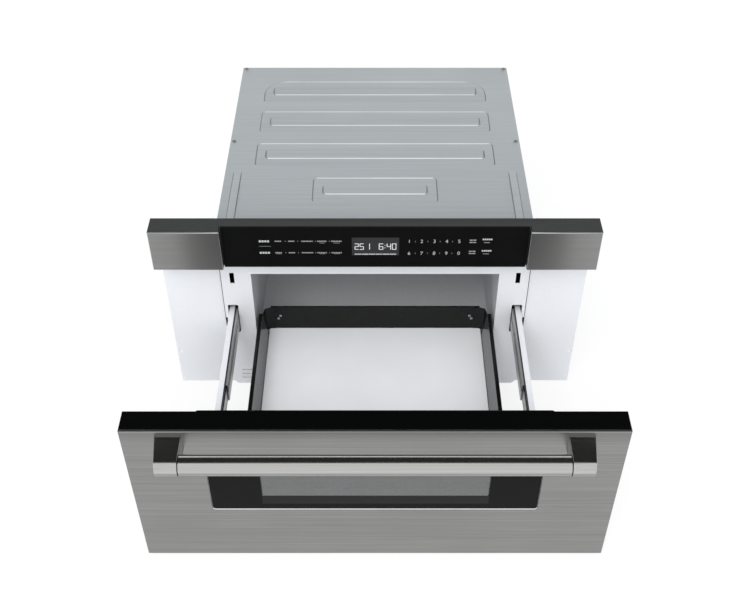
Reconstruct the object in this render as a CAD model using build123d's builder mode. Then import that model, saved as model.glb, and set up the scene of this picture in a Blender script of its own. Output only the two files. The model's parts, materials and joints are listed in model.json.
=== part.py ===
"""Built-in microwave drawer, drawn with its drawer run out.

X points right, Y points back into the cabinet and Z points up. The origin is at mid-width, in the plane
of the cabinet's face, at the underside of the base. All sizes are in millimetres.
"""

import math
import os

from build123d import *

# --- Front of the appliance ---
front_w = 760.0  # width of the control panel and of the drawer's face
panel_top_z = 398.0  # top of the control panel above the underside of the base
panel_h = 82.4
panel_d = 39.4
panel_gap = 7.0  # open joint between the control panel and the drawer's face
door_h = 315.2
door_d = 40.5
door_skin_d = 12.0  # depth of the stainless skin's returned edges
edge_r = 2.0  # bend of the stainless edges
door_top_land = 2.7  # flat of the stainless top edge behind its bend
skin_t = 1.0  # stainless sheet
cap_t = 1.0  # dark moulded top that lies flush with the stainless edge

# --- Casing ---
case_w = 547.0
case_d = 537.0  # from the cabinet's face to the rear panel
case_h = 370.0
sheet_t = 0.8  # galvanised sheet
seam_w = 14.0  # folded seams that the case screws go through
bead_h = 2.0  # height of the pressed beads
bead_slope = 45.0  # slope of the pressed beads, from the vertical
side_bend_r = 0.0  # the seams are folded sharp
side_bead_l = 330.0
side_bead_w = 26.0
side_bead_corner = 7.5
side_bead_heights = (92.5, 251.6)
base_bead_l = 260.0
base_bead_w = 24.0
base_bead_y = 225.0
base_bead_pitch = 150.0
rear_bead_l = 300.0
rear_bead_w = 40.0
rear_bead_corner = 12.0
rear_bead_x = 60.0
rear_bead_z = 229.0

# Pressed loops of the top cover: half-width, front, rear, rear corner radius, hole half-width, front, rear.
top_loops = (
    (222.0, 404.4, 481.5, 46.0, 203.0, 430.1, 455.8),
    (222.0, 298.2, 370.1, 9.0, 202.5, 320.5, 347.8),
    (222.0, 187.7, 260.6, 9.0, 203.0, 210.9, 237.4),
    (112.0, 77.9, 151.7, 9.0, 93.0, 101.8, 127.8),
)
side_bead_in_x = 243.3
side_bead_out_x = 258.1
side_bead_rear_y = 173.0
front_corner_r = 9.0

flange_w = 101.0
flange_t = 1.2
flange_bottom_z = -4.1
flange_top_z = 390.0
flange_leg = 22.0
flange_bend_r = 0.8
flange_screw_x = 368.6
flange_screw_z = 76.8
flange_hole_r = 2.2
plate_lead = 2.0  # the front plate stands this far ahead of the side flanges
plate_t = 1.2
plate_bottom_z = -9.3
plate_corner = 8.0
louvre_x = -226.0
louvre_w = 60.0
louvre_h = 2.2
louvre_z = 17.4
louvre_pitch = 10.3

# --- Cooking cavity ---
mouth_w = 440.0
mouth_bottom_z = 83.0
mouth_top_z = 274.1
cavity_rear_y = 411.0
cavity_corner_r = 30.0
liner_t = 0.8
ceiling_lap = 3.0  # the ceiling reaches past the liner by this much
feed_y = 205.0  # centre of the microwave feed in the ceiling
feed_hole_w = 190.0
feed_box_w = 216.0
guide_h = 28.0
guide_w = 86.0
guide_rear_y = 522.0
guide_wall = 1.0
stirrer_cover_w = 204.0
stirrer_cover_t = 1.5
stirrer_r = 86.0
stirrer_z = 284.0
stirrer_blades = 4
stirrer_blade_w = 40.0
stirrer_root_w = 22.0
stirrer_blade_t = 1.0
stirrer_tilt = 14.0
stirrer_hub_r = 12.0
stirrer_hub_h = 9.0
stirrer_motor_r = 24.0
stirrer_motor_h = 16.0
stirrer_ear_w = 70.0
stirrer_ear_d = 14.0
stirrer_ear_t = 1.0
stirrer_plug_w = 18.0
stirrer_shaft_rise = 9.0  # how far the shaft reaches into its motor
running_clearance = 0.05  # radial clearance of a shaft in its bearing

# --- Magnetron, transformer and fan behind the cavity ---
magnetron_y = 475.0
magnetron_w = 90.0
magnetron_d = 82.0
magnetron_h = 94.0
magnetron_core_r = 21.0
magnetron_fins = 5
yoke_t = 1.5
fin_margin = 17.0
fin_pitch = 15.0
fin_inset = 6.0
fin_t = 0.8
filter_h = 34.0
filter_w = 60.0
antenna_r = 9.0
antenna_h = 18.0
antenna_hole_r = 13.0
transformer_x = 130.0
transformer_y = 470.0
transformer_w = 92.0
transformer_d = 58.0
transformer_h = 76.0
transformer_foot_w = 114.0
transformer_foot_d = 48.0
transformer_foot_t = 2.0
winding_lip = 16.0
winding_w = 58.0
winding_r = 12.0
winding_inset = 12.0  # the winding ends this far from the core's top and bottom
fan_x = -142.0
fan_y = 476.2
fan_z = 165.0
fan_wheel_r = 50.0
fan_hub_r = 14.0
hub_sides = 14  # round parts inside the casing are drawn with few faces
fan_blades = 7
fan_depth = 26.0
fan_frame_w = 120.0
fan_ring_gap = 2.5
ring_sides = 28
fan_shaft_r = 2.5
fan_motor_w = 54.0
fan_motor_t = 20.0
fan_motor_gap = 12.0  # between the motor's core and the frame
fan_motor_h = 66.0
fan_frame_t = 1.5
fan_root_chord = 13.0
fan_tip_chord = 28.0
fan_tip_gap = 2.2  # the straight tips end this far inside the wheel's outer circle
fan_blade_angle = 36.0
fan_blade_t = 1.4
fan_hub_gap = 3.0
fan_shaft_depth = 12.0
fan_coil_w = 34.0
fan_coil_h = 26.0
fan_coil_t = 10.0
fan_strap_w = 7.0
fan_pillar_dy = 46.0
fan_pillar_dz = 56.0
fan_pillar_w = 6.0
vent_count = 9
vent_pitch = 11.0
vent_w = 5.0
vent_h = 96.0
vent_x = -214.0
bush_x = 205.0
bush_z = 60.0
bush_r = 11.0
bush_bore_r = 5.0
bush_rim = 3.0

# --- Control panel ---
wing_inner_x = 260.0
glass_w = 517.3
glass_t = 4.0
glass_recess_top = 14.4  # depth of the glass behind the wings' front at its top edge
glass_recess_bottom = 8.4
glass_corner_r = 2.5
housing_wall = 2.5
board_well_x = 252.0  # half-width of the well behind the control glass
display_x = 0.8
display_w = 80.1
display_h = 36.9
display_drop = 40.8  # centre of the display below the panel's top
display_t = 6.0
board_w = 420.0
board_h = 58.0
board_t = 1.6

# --- Telescopic slides, counted outwards from mid-width ---
slot_in_x = 249.0
slot_out_x = 267.8
slot_bottom_z = 130.6
slot_top_z = 199.2
slot_r = 3.0
rail_z = 163.0
rail_front_y = 2.0
rail_fixed_x = 246.5
rail_fixed_w = 7.4
rail_fixed_h = 46.0
rail_fixed_l = 400.0
rail_middle_x = 250.4
rail_middle_w = 4.2
rail_middle_h = 39.0
rail_middle_l = 400.0
rail_inner_x = 253.1
rail_inner_w = 1.9
rail_inner_h = 32.0
rail_inner_l = 388.0
rail_t = 1.4  # fixed and inner members
rail_middle_t = 1.2
rail_bend_r = 1.6
drawer_travel = 347.0
middle_travel = 182.0
ball_clearance = 0.12
balls_per_race = 3
ball_sides = 6  # the balls are drawn with few faces
ball_pitch = 78.0
cage_t = 0.5
cage_end_gap = 6.0
outer_cage_l = 190.0
inner_cage_l = 190.0
bracket_l = 46.0
bracket_front_y = 70.0
bracket_rear_y = 340.0
bracket_t = 1.2
bracket_foot = 10.0
bracket_bend_r = 0.0  # the brackets are too small for their bends to matter

# --- Carrying arms and drive ---
arm_top_z = 188.0
arm_h = 50.0
arm_w = 10.3
arm_t = 1.2
arm_bend_r = 2.0
arm_rear_y = 46.0
gear_module = 1.5
pinion_teeth = 16
pressure_angle = 20.0
addendum = 0.9  # tooth height above the pitch line, in modules
dedendum = 1.2  # tooth depth below it, in modules
backlash = 0.35
gear_w = 7.0
pinion_y = 22.0
pinion_shaft_r = 3.0
rack_body_h = 2.4
rack_rear_y = 44.0
rack_front_gap = 4.0
gearbox_w = 26.0
gearbox_d = 52.0
gearbox_h = 40.0
gearbox_corner = 6.0
gearbox_gap = 3.0  # between the gearbox and the pinion's teeth
gearbox_dy = 12.0  # centre of the gearbox behind the pinion's axis
gearbox_dz = 6.0  # and below it
motor_r = 14.0
motor_l = 45.0
motor_dy = 22.0
motor_plate_t = 2.0
motor_plate_w = 72.0
motor_plate_h = 28.0
pinion_shaft_l = 20.0
pinion_collar_r = 7.0
pinion_collar_t = 2.0

# --- Door ---
door_closed_gap = 0.8  # between the closed door's inner plate and the front plate
window_w = 518.6
window_bottom_z = 115.3
window_h = 122.7
window_r = 5.0
window_glass_t = 4.0
window_fit = 0.3  # gap round the glass
window_lip = 8.0  # width of the ledge that the glass rests on
frame_wall = 2.5
inner_plate_w = 543.6
inner_plate_h = 298.3
inner_plate_t = 2.8
inner_plate_r = 6.0
inner_plate_seat = 14.0  # width of the frame's rear wall that the inner plate is screwed to
screen_w = 358.0
screen_top_z = 207.0
screen_bottom_z = 148.4
screen_margin = 12.0
screen_t = 0.8
handle_axis_gap = 44.3  # from the door's face to the bar's axis
handle_axis_drop = 22.0  # below the door's top edge
bar_r = 15.8
post_r = 16.5
post_inner_x = 286.3
post_outer_x = 319.7  # at the front of the bar
post_foot_x = 326.7  # the post's outer side runs out to here at the door
post_edge = 2.0
groove_w = 1.0
groove_depth = 1.0

# --- Tray ---
tray_w = 432.0
tray_rim_z = 158.0
tray_floor_z = 103.0
tray_rim_w = 7.0
tray_slope = 8.0  # the inner faces lean in by this much from rim to floor
tray_sheet_t = 1.2
tray_rear_y = 35.8  # inner face of the rear wall, drawer open
tray_rear_lip = 2.4
tray_wall_rear_y = 17.0  # the side walls end ahead of the cut-off corners
tray_corner_x = 196.0  # half-width of the rear wall
tray_bend_r = 1.8
tray_glass_t = 4.0
tray_glass_gap = 2.0  # between the glass floor and the foot of each side wall
tray_base_t = 1.0
corner_leg = 10.0
corner_drop = 1.5
corner_t = 1.5
corner_cut = 3.75  # how far the bracket steps forward across the corner

# --- Door interlock, counted outwards from mid-width ---
latch_x = 254.0
latch_slot_w = 8.0
latch_slot_bottom_z = 252.0
latch_slot_h = 24.5
prong_w = 5.0
prong_h = 11.0
prong_l = 36.0
prong_drop = 4.0  # top of the prong below the top of its slot
prong_nose_l = 8.0
prong_nose_h = 3.0
prong_barb = 6.0
barb_l = 10.0
barb_land = 2.0
interlock_w = 20.0
interlock_h = 44.0
interlock_l = 50.0
interlock_clear = 1.0  # the channel is this much larger than the slot in the front plate
plunger_r = 2.5
plunger_l = 13.0
plunger_gap = 0.4  # between the prong and the plunger when the drawer is shut
plunger_travel = 1.5
plunger_head_r = 4.0
plunger_head_t = 1.5

# --- Screws ---
screw_head_r = 3.6
screw_head_h = 1.6
case_screw_inset = 7.0
case_screw_mid_y = 266.3
case_screw_rear_y = 531.0
case_screw_low_z = 30.0
tray_screw_r = 2.0
tray_screw_h = 1.0
tray_screw_places = ((178.0, 135.5), (182.0, 128.5))

# --- Places that follow from the sizes ---
flange_front_y = -flange_t
plate_front_y = flange_front_y - plate_lead
plate_back_y = plate_front_y + plate_t
panel_front_y = flange_front_y - panel_d
panel_bottom_z = panel_top_z - panel_h
door_top_z = panel_bottom_z - panel_gap
door_bottom_z = door_top_z - door_h
door_back_y = plate_front_y - door_closed_gap - inner_plate_t - drawer_travel
door_front_y = door_back_y - door_d
inner_plate_back_y = door_back_y + inner_plate_t
case_x = case_w / 2
mouth_h = mouth_top_z - mouth_bottom_z
mouth_z = (mouth_top_z + mouth_bottom_z) / 2
window_z = window_bottom_z + window_h / 2
handle_y = door_front_y - handle_axis_gap
handle_z = door_top_z - handle_axis_drop
arm_x = rail_inner_x + rail_inner_w
arm_bottom_z = arm_top_z - arm_h
rack_root_z = arm_bottom_z - rack_body_h
rack_pitch_z = rack_root_z - dedendum * gear_module
pinion_r = gear_module * pinion_teeth / 2
pinion_z = rack_pitch_z - pinion_r
gear_x = arm_x + (arm_w - gear_w) / 2
ceiling_top_z = mouth_top_z + liner_t
guide_top_z = ceiling_top_z + guide_h
glass_slant = math.degrees(math.atan((glass_recess_top - glass_recess_bottom) / panel_h))
glass_l = panel_h / math.cos(math.radians(glass_slant))
glass_plane = Plane(
    origin=(0, panel_front_y + glass_recess_bottom, panel_bottom_z),
    x_dir=(1, 0, 0),
    z_dir=(0, -math.cos(math.radians(glass_slant)), math.sin(math.radians(glass_slant))),
)


def save(builder, label):
    """Label a finished piece and write it as its own file."""
    builder.part.label = label
    export_step(builder.part, f"parts/{label}.step")


def save_pair(builder, label):
    """Save a right-hand piece and its mirrored left-hand twin."""
    save(builder, label.format("right"))
    with BuildPart() as twin:
        mirror(builder.part, about=Plane.YZ)
    save(twin, label.format("left"))


def front_view(y):
    """Drawing plane parallel to the front at depth y; a negative amount runs backwards."""
    return Plane.XZ.offset(-y)


def side_view(x):
    """Drawing plane seen from the right at distance x from mid-width."""
    return Plane.YZ.offset(x)


def plan_view(z):
    """Drawing plane seen from above at height z."""
    return Plane.XY.offset(z)


def span(low, high):
    """Length and middle of a stretch between two limits, in either order."""
    return abs(high - low), (low + high) / 2


def block(x, y, z, mode=Mode.ADD):
    """A plain block between two limits along each axis."""
    sizes = [span(*limits) for limits in (x, y, z)]
    with Locations(tuple(middle for _, middle in sizes)):
        Box(*[length for length, _ in sizes], mode=mode)


def folded(points, thickness, bend, metal=Side.LEFT):
    """Section of a folded sheet: the points run along one face, the metal lies on the side given."""
    with BuildSketch(mode=Mode.PRIVATE) as section:
        with BuildLine():
            if bend > 0:
                FilletPolyline(*points, radius=bend)
            else:
                Polyline(*points)
            offset(amount=thickness, side=metal, kind=Kind.INTERSECTION)
        make_face()
    return section.sketch


def channel_section(web_x, width, middle_z, height, thickness, bend):
    """C section that opens outwards, its web's inner face at web_x."""
    top_z = middle_z + height / 2
    bottom_z = middle_z - height / 2
    tip_x = web_x + width
    return folded([(tip_x, top_z), (web_x, top_z), (web_x, bottom_z), (tip_x, bottom_z)], thickness, bend)


def tilted_blade(root_x, root_w, tip_x, tip_w, thickness, tilt):
    """A flat blade that runs out along X and widens to its tip, tilted about X."""
    with BuildPart() as blade:
        with BuildSketch(Plane.XY.rotated((tilt, 0, 0))):
            with BuildLine():
                Polyline(
                    (root_x, -root_w / 2),
                    (tip_x, -tip_w / 2),
                    (tip_x, tip_w / 2),
                    (root_x, root_w / 2),
                    close=True,
                )
            make_face()
        extrude(amount=thickness / 2, both=True)
    return blade.part


os.makedirs("parts", exist_ok=True)

# ======================================================================================
# Casing
# ======================================================================================

with BuildPart() as base_plate:
    with BuildSketch(plan_view(0)):
        with Locations((0, (plate_back_y + case_d) / 2)):
            Rectangle(case_w, case_d - plate_back_y)
    extrude(amount=sheet_t)
    with BuildSketch(plan_view(sheet_t)):
        with Locations((0, base_bead_y)):
            with GridLocations(base_bead_pitch, 0, 3, 1):
                Rectangle(base_bead_w, base_bead_l)
    extrude(amount=bead_h, taper=bead_slope)
save(base_plate, "base_plate")

with BuildPart() as side_panel:
    seam_x = case_x - seam_w
    with BuildSketch(front_view(case_d - sheet_t)):
        add(folded(
            [(seam_x, sheet_t), (case_x, sheet_t), (case_x, case_h - sheet_t), (seam_x, case_h - sheet_t)],
            sheet_t, side_bend_r))
    extrude(amount=case_d - sheet_t - plate_back_y)
    bead_places = [(case_d / 2, bead_z) for bead_z in side_bead_heights]
    with BuildSketch(side_view(case_x)) as beads:
        with Locations(*bead_places):
            Rectangle(side_bead_l, side_bead_w)
        chamfer(beads.vertices(), side_bead_corner)
    extrude(amount=-bead_h, taper=bead_slope)
save_pair(side_panel, "{}_side_panel")

with BuildPart() as rear_panel:
    with BuildSketch(front_view(case_d - sheet_t)):
        with Locations((0, case_h / 2)):
            Rectangle(case_w, case_h - 2 * sheet_t)
        with GridLocations(vent_pitch, 0, vent_count, 1):
            with Locations((vent_x, fan_z)):
                Rectangle(vent_w, vent_h, mode=Mode.SUBTRACT)
        with Locations((bush_x, bush_z)):
            RegularPolygon(bush_r, hub_sides, mode=Mode.SUBTRACT)
    extrude(amount=-sheet_t)
    with BuildSketch(front_view(case_d - sheet_t)) as bead:
        with Locations((rear_bead_x, rear_bead_z)):
            Rectangle(rear_bead_l, rear_bead_w)
        chamfer(bead.vertices(), rear_bead_corner)
    extrude(amount=bead_h, taper=bead_slope)
save(rear_panel, "rear_panel")

screw_x = case_x - case_screw_inset
top_screw_places = [(side * screw_x, y) for side in (-1, 1) for y in (case_screw_mid_y, case_screw_rear_y)]
screw_heights = (case_screw_low_z, case_h - case_screw_low_z)
rear_screw_places = [(side * screw_x, z) for side in (-1, 1) for z in screw_heights]

with BuildPart() as top_cover:
    with BuildSketch(plan_view(case_h - sheet_t)):
        with Locations((0, (plate_back_y + case_d) / 2)):
            Rectangle(case_w, case_d - plate_back_y)
    extrude(amount=sheet_t)
    for half_w, front_y, rear_y, rear_r, hole_half_w, hole_front_y, hole_rear_y in top_loops:
        depth, middle_y = span(front_y, rear_y)
        hole_depth, hole_y = span(hole_front_y, hole_rear_y)
        with BuildSketch(plan_view(case_h)) as loop:
            with Locations((0, middle_y)):
                Rectangle(2 * half_w, depth)
            fillet(loop.vertices().group_by(Axis.Y)[-1], rear_r)
            fillet(loop.vertices().group_by(Axis.Y)[0], front_corner_r)
            with Locations((0, hole_y)):
                Rectangle(2 * hole_half_w, hole_depth, mode=Mode.SUBTRACT)
        extrude(amount=bead_h, taper=bead_slope)
    bead_w, bead_x = span(side_bead_in_x, side_bead_out_x)
    bead_l, bead_y = span(plate_back_y + sheet_t, side_bead_rear_y)
    with BuildSketch(plan_view(case_h)):
        with Locations((-bead_x, bead_y), (bead_x, bead_y)):
            Rectangle(bead_w, bead_l)
    extrude(amount=bead_h, taper=bead_slope)
save(top_cover, "top_cover")

with BuildPart() as front_plate:
    with BuildSketch(front_view(plate_back_y)) as outline:
        plate_h, plate_z = span(plate_bottom_z, case_h)
        with Locations((0, plate_z)):
            Rectangle(case_w, plate_h)
        chamfer(outline.vertices().group_by(Axis.Y)[0], plate_corner)
        with Locations((0, mouth_z)):
            Rectangle(mouth_w, mouth_h, mode=Mode.SUBTRACT)
        slot_w, slot_x = span(slot_in_x, slot_out_x)
        slot_h, slot_z = span(slot_bottom_z, slot_top_z)
        with Locations((-slot_x, slot_z), (slot_x, slot_z)):
            RectangleRounded(slot_w, slot_h, slot_r, mode=Mode.SUBTRACT)
        latch_z = latch_slot_bottom_z + latch_slot_h / 2
        with Locations((-latch_x, latch_z), (latch_x, latch_z)):
            Rectangle(latch_slot_w, latch_slot_h, mode=Mode.SUBTRACT)
        with GridLocations(0, louvre_pitch, 1, 3):
            with Locations((louvre_x, louvre_z)):
                Rectangle(louvre_w, louvre_h, mode=Mode.SUBTRACT)
    extrude(amount=plate_t)
save(front_plate, "front_plate")

with BuildPart() as side_flange:
    leg = [(case_x, flange_leg), (case_x, flange_front_y), (case_x + flange_w, flange_front_y)]
    with BuildSketch(plan_view(flange_bottom_z)):
        add(folded(leg, flange_t, flange_bend_r))
    extrude(amount=flange_top_z - flange_bottom_z)
    with BuildSketch(front_view(0)):
        with Locations((flange_screw_x, flange_screw_z)):
            Circle(flange_hole_r)
    extrude(amount=flange_t, mode=Mode.SUBTRACT)
save_pair(side_flange, "{}_side_flange")

with BuildPart() as cord_bush:
    for radius, depth in ((bush_r + bush_rim, -bush_rim), (bush_r, sheet_t + bush_rim)):
        with BuildSketch(front_view(case_d)):
            with Locations((bush_x, bush_z)):
                RegularPolygon(radius, hub_sides)
                RegularPolygon(bush_bore_r, hub_sides, mode=Mode.SUBTRACT)
        extrude(amount=depth)
save(cord_bush, "cord_bush")

with BuildPart() as case_screws:
    with BuildSketch(plan_view(case_h)):
        with Locations(*top_screw_places):
            RegularPolygon(screw_head_r, 6)
    extrude(amount=screw_head_h)
    with BuildSketch(front_view(case_d)):
        with Locations(*rear_screw_places):
            RegularPolygon(screw_head_r, 6)
    extrude(amount=-screw_head_h)
save(case_screws, "case_screws")

# ======================================================================================
# Cooking cavity and microwave feed
# ======================================================================================

with BuildPart() as cavity_liner:
    outer_w = mouth_w + 2 * liner_t
    outer_rear_y = cavity_rear_y + liner_t
    with BuildSketch(plan_view(mouth_bottom_z - liner_t)) as liner_plan:
        length, middle = span(plate_back_y, outer_rear_y)
        with Locations((0, middle)):
            Rectangle(outer_w, length)
        fillet(liner_plan.vertices().group_by(Axis.Y)[-1], cavity_corner_r + liner_t)
    extrude(amount=mouth_h + liner_t)
    with BuildSketch(plan_view(mouth_bottom_z)) as hollow_plan:
        length, middle = span(plate_back_y, cavity_rear_y)
        with Locations((0, middle)):
            Rectangle(mouth_w, length)
        fillet(hollow_plan.vertices().group_by(Axis.Y)[-1], cavity_corner_r)
    extrude(amount=mouth_h, mode=Mode.SUBTRACT)
save(cavity_liner, "cavity_liner")

with BuildPart() as cavity_ceiling:
    ceiling_l, ceiling_y = span(plate_back_y, cavity_rear_y + ceiling_lap)
    with BuildSketch(plan_view(mouth_top_z)):
        with Locations((0, ceiling_y)):
            Rectangle(mouth_w + 2 * ceiling_lap, ceiling_l)
        with Locations((0, feed_y)):
            Rectangle(feed_hole_w, feed_hole_w, mode=Mode.SUBTRACT)
    extrude(amount=liner_t)
save(cavity_ceiling, "cavity_ceiling")

with BuildPart() as stirrer_cover:
    with BuildSketch(plan_view(mouth_top_z)):
        with Locations((0, feed_y)):
            Rectangle(stirrer_cover_w, stirrer_cover_w)
    extrude(amount=-stirrer_cover_t)
save(stirrer_cover, "stirrer_cover")

with BuildPart() as waveguide:
    block((-feed_box_w / 2, feed_box_w / 2), (feed_y - feed_box_w / 2, feed_y + feed_box_w / 2),
          (ceiling_top_z, guide_top_z))
    block((-guide_w / 2, guide_w / 2), (feed_y, guide_rear_y), (ceiling_top_z, guide_top_z))
    inner_box = feed_box_w / 2 - guide_wall
    block((-inner_box, inner_box), (feed_y - inner_box, feed_y + inner_box),
          (ceiling_top_z, guide_top_z - guide_wall), Mode.SUBTRACT)
    block((-guide_w / 2 + guide_wall, guide_w / 2 - guide_wall), (feed_y, guide_rear_y - guide_wall),
          (ceiling_top_z + guide_wall, guide_top_z - guide_wall), Mode.SUBTRACT)
    with BuildSketch(plan_view(ceiling_top_z)):
        with Locations((0, magnetron_y)):
            RegularPolygon(antenna_hole_r, hub_sides)
    extrude(amount=guide_wall, mode=Mode.SUBTRACT)
    with BuildSketch(plan_view(guide_top_z)):
        with Locations((0, feed_y)):
            RegularPolygon(fan_shaft_r + guide_wall, hub_sides)
    extrude(amount=-guide_wall, mode=Mode.SUBTRACT)
save(waveguide, "waveguide")

with BuildPart() as stirrer_motor:
    with BuildSketch(plan_view(guide_top_z)):
        with Locations((0, feed_y)):
            RegularPolygon(stirrer_motor_r, hub_sides)
            Rectangle(stirrer_ear_w, stirrer_ear_d)
    extrude(amount=stirrer_ear_t)
    with BuildSketch(plan_view(guide_top_z + stirrer_ear_t)):
        with Locations((0, feed_y)):
            RegularPolygon(stirrer_motor_r, hub_sides)
        with Locations((0, feed_y + stirrer_motor_r)):
            Rectangle(stirrer_plug_w, stirrer_plug_w)
    extrude(amount=stirrer_motor_h)
    with Locations((0, feed_y, guide_top_z)):
        Cylinder(fan_shaft_r + running_clearance, 2 * stirrer_shaft_rise, mode=Mode.SUBTRACT)
save(stirrer_motor, "stirrer_motor")

with BuildPart() as stirrer_blade:
    add(tilted_blade(stirrer_hub_r / 2, stirrer_root_w, stirrer_r, stirrer_blade_w,
                     stirrer_blade_t, stirrer_tilt))

with BuildPart() as stirrer_hub:
    with BuildSketch():
        RegularPolygon(stirrer_hub_r, hub_sides)
    extrude(amount=stirrer_hub_h / 2, both=True)

with BuildPart() as stirrer:
    with Locations((0, feed_y, stirrer_z)):
        add(stirrer_hub.part)
        with PolarLocations(0, stirrer_blades):
            add(stirrer_blade.part)
    shaft_l, shaft_z = span(stirrer_z, guide_top_z + stirrer_shaft_rise)
    with Locations((0, feed_y, shaft_z)):
        Cylinder(fan_shaft_r, shaft_l)
save(stirrer, "stirrer")

# ======================================================================================
# Magnetron, transformer and cooling fan
# ======================================================================================

with BuildPart() as magnetron:
    top_z = ceiling_top_z
    yoke_bottom_z = top_z - magnetron_h
    half_w = magnetron_w / 2
    half_d = magnetron_d / 2
    with BuildSketch(front_view(magnetron_y + half_d)):
        with Locations((0, top_z - magnetron_h / 2)):
            Rectangle(magnetron_w, magnetron_h)
            Rectangle(magnetron_w - 2 * yoke_t, magnetron_h - 2 * yoke_t, mode=Mode.SUBTRACT)
    extrude(amount=magnetron_d)
    with BuildSketch(plan_view(yoke_bottom_z)):
        with Locations((0, magnetron_y)):
            RegularPolygon(magnetron_core_r, hub_sides)
    extrude(amount=magnetron_h)
    for fin in range(magnetron_fins):
        fin_z = yoke_bottom_z + fin_margin + fin_pitch * fin
        block((-half_w, half_w), (magnetron_y - half_d + fin_inset, magnetron_y + half_d - fin_inset),
              (fin_z, fin_z + fin_t))
    block((-filter_w / 2, filter_w / 2), (magnetron_y - filter_w / 2, magnetron_y + filter_w / 2),
          (yoke_bottom_z - filter_h, yoke_bottom_z))
    with BuildSketch(plan_view(top_z)):
        with Locations((0, magnetron_y)):
            RegularPolygon(antenna_r, hub_sides)
    extrude(amount=antenna_h)
save(magnetron, "magnetron")

with BuildPart() as transformer:
    core_bottom_z = sheet_t + transformer_foot_t
    with Locations((transformer_x, transformer_y, core_bottom_z + transformer_h / 2)):
        Box(transformer_w, transformer_d, transformer_h)
    with BuildSketch(plan_view(core_bottom_z + winding_inset)) as winding:
        with Locations((transformer_x, transformer_y)):
            Rectangle(winding_w, transformer_d + 2 * winding_lip)
        chamfer(winding.vertices(), winding_r)
    extrude(amount=transformer_h - 2 * winding_inset)
    with BuildSketch(plan_view(sheet_t)):
        with Locations((transformer_x, transformer_y)):
            Rectangle(transformer_foot_w, transformer_foot_d)
    extrude(amount=transformer_foot_t)
save(transformer, "transformer")

fan_plane = Plane(origin=(fan_x, fan_y, fan_z), x_dir=(0, 1, 0), z_dir=(1, 0, 0))

with BuildPart() as fan_housing:
    with BuildSketch(fan_plane):
        Rectangle(fan_frame_w, fan_frame_w)
        RegularPolygon(fan_wheel_r + fan_ring_gap, ring_sides, mode=Mode.SUBTRACT)
    extrude(amount=fan_frame_t)
    with BuildSketch(fan_plane):
        RegularPolygon(fan_wheel_r + fan_ring_gap + fan_frame_t, ring_sides)
        RegularPolygon(fan_wheel_r + fan_ring_gap, ring_sides, mode=Mode.SUBTRACT)
    extrude(amount=fan_depth)
save(fan_housing, "fan_housing")

with BuildPart() as fan_blade:
    add(tilted_blade(fan_hub_r - fan_blade_t, fan_root_chord, fan_wheel_r - fan_tip_gap, fan_tip_chord,
                     fan_blade_t, fan_blade_angle))

with BuildPart() as fan_motor:
    motor_face = fan_plane.offset(-fan_motor_gap)
    with BuildSketch(motor_face):
        Rectangle(fan_motor_w, fan_motor_h)
    extrude(amount=-fan_motor_t)
    with BuildSketch(motor_face.offset(-fan_motor_t)):
        with Locations((0, -fan_motor_w / 2)):
            Rectangle(fan_coil_w, fan_coil_h)
    extrude(amount=-fan_coil_t)
    with BuildSketch(motor_face):
        Circle(fan_shaft_r + running_clearance)
    extrude(amount=-fan_shaft_depth, mode=Mode.SUBTRACT)
    with BuildSketch(fan_plane):
        with GridLocations(0, fan_pillar_dz, 1, 2):
            Rectangle(fan_frame_w - fan_strap_w, fan_strap_w)
    extrude(amount=-fan_frame_t)
    with BuildSketch(fan_plane):
        with GridLocations(fan_pillar_dy, fan_pillar_dz, 2, 2):
            Rectangle(fan_pillar_w, fan_pillar_w)
    extrude(amount=-fan_motor_gap)
save(fan_motor, "fan_motor")

with BuildPart() as fan_wheel:
    hub_plane = fan_plane.offset(fan_hub_gap)
    with BuildSketch(hub_plane):
        RegularPolygon(fan_hub_r, hub_sides)
    extrude(amount=fan_depth - 2 * fan_hub_gap)
    with BuildSketch(hub_plane):
        Circle(fan_shaft_r)
    extrude(amount=-fan_motor_gap - fan_shaft_depth)
    with Locations(fan_plane.offset(fan_depth / 2)):
        with PolarLocations(0, fan_blades):
            add(fan_blade.part)
save(fan_wheel, "fan_wheel")

# ======================================================================================
# Control panel
# ======================================================================================

housing_x = front_w / 2 - skin_t
housing_front_y = panel_front_y + skin_t
seat_x = case_x + window_fit
cap_front_y = panel_front_y + edge_r + skin_t
well_z = (panel_bottom_z + skin_t + housing_wall, panel_top_z - cap_t - housing_wall)

with BuildPart() as panel_housing:
    block((-housing_x, housing_x), (housing_front_y, flange_front_y),
          (panel_bottom_z + skin_t, panel_top_z - cap_t))
    fillet(panel_housing.faces().sort_by(Axis.Y)[0].edges(), edge_r - skin_t)
    block((-front_w / 2, front_w / 2), (cap_front_y, flange_front_y), (panel_top_z - cap_t, panel_top_z))
    with BuildSketch(glass_plane.offset(-glass_t)):
        with Locations((0, glass_l / 2)):
            Rectangle(2 * (wing_inner_x + edge_r), glass_l + 2 * panel_d)
    extrude(amount=2 * panel_d, mode=Mode.SUBTRACT)
    block((-seat_x, seat_x), (plate_front_y, flange_front_y), (panel_bottom_z, panel_top_z), Mode.SUBTRACT)
    well_rear_y = plate_front_y - housing_wall
    block((-board_well_x, board_well_x), (housing_front_y, well_rear_y), well_z, Mode.SUBTRACT)
    for side in (-1, 1):
        block((side * (wing_inner_x + 2 * housing_wall), side * (housing_x - housing_wall)),
              (housing_front_y, flange_front_y - housing_wall), well_z, Mode.SUBTRACT)
save(panel_housing, "panel_housing")

wing_w, wing_x = span(wing_inner_x, front_w / 2)

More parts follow.
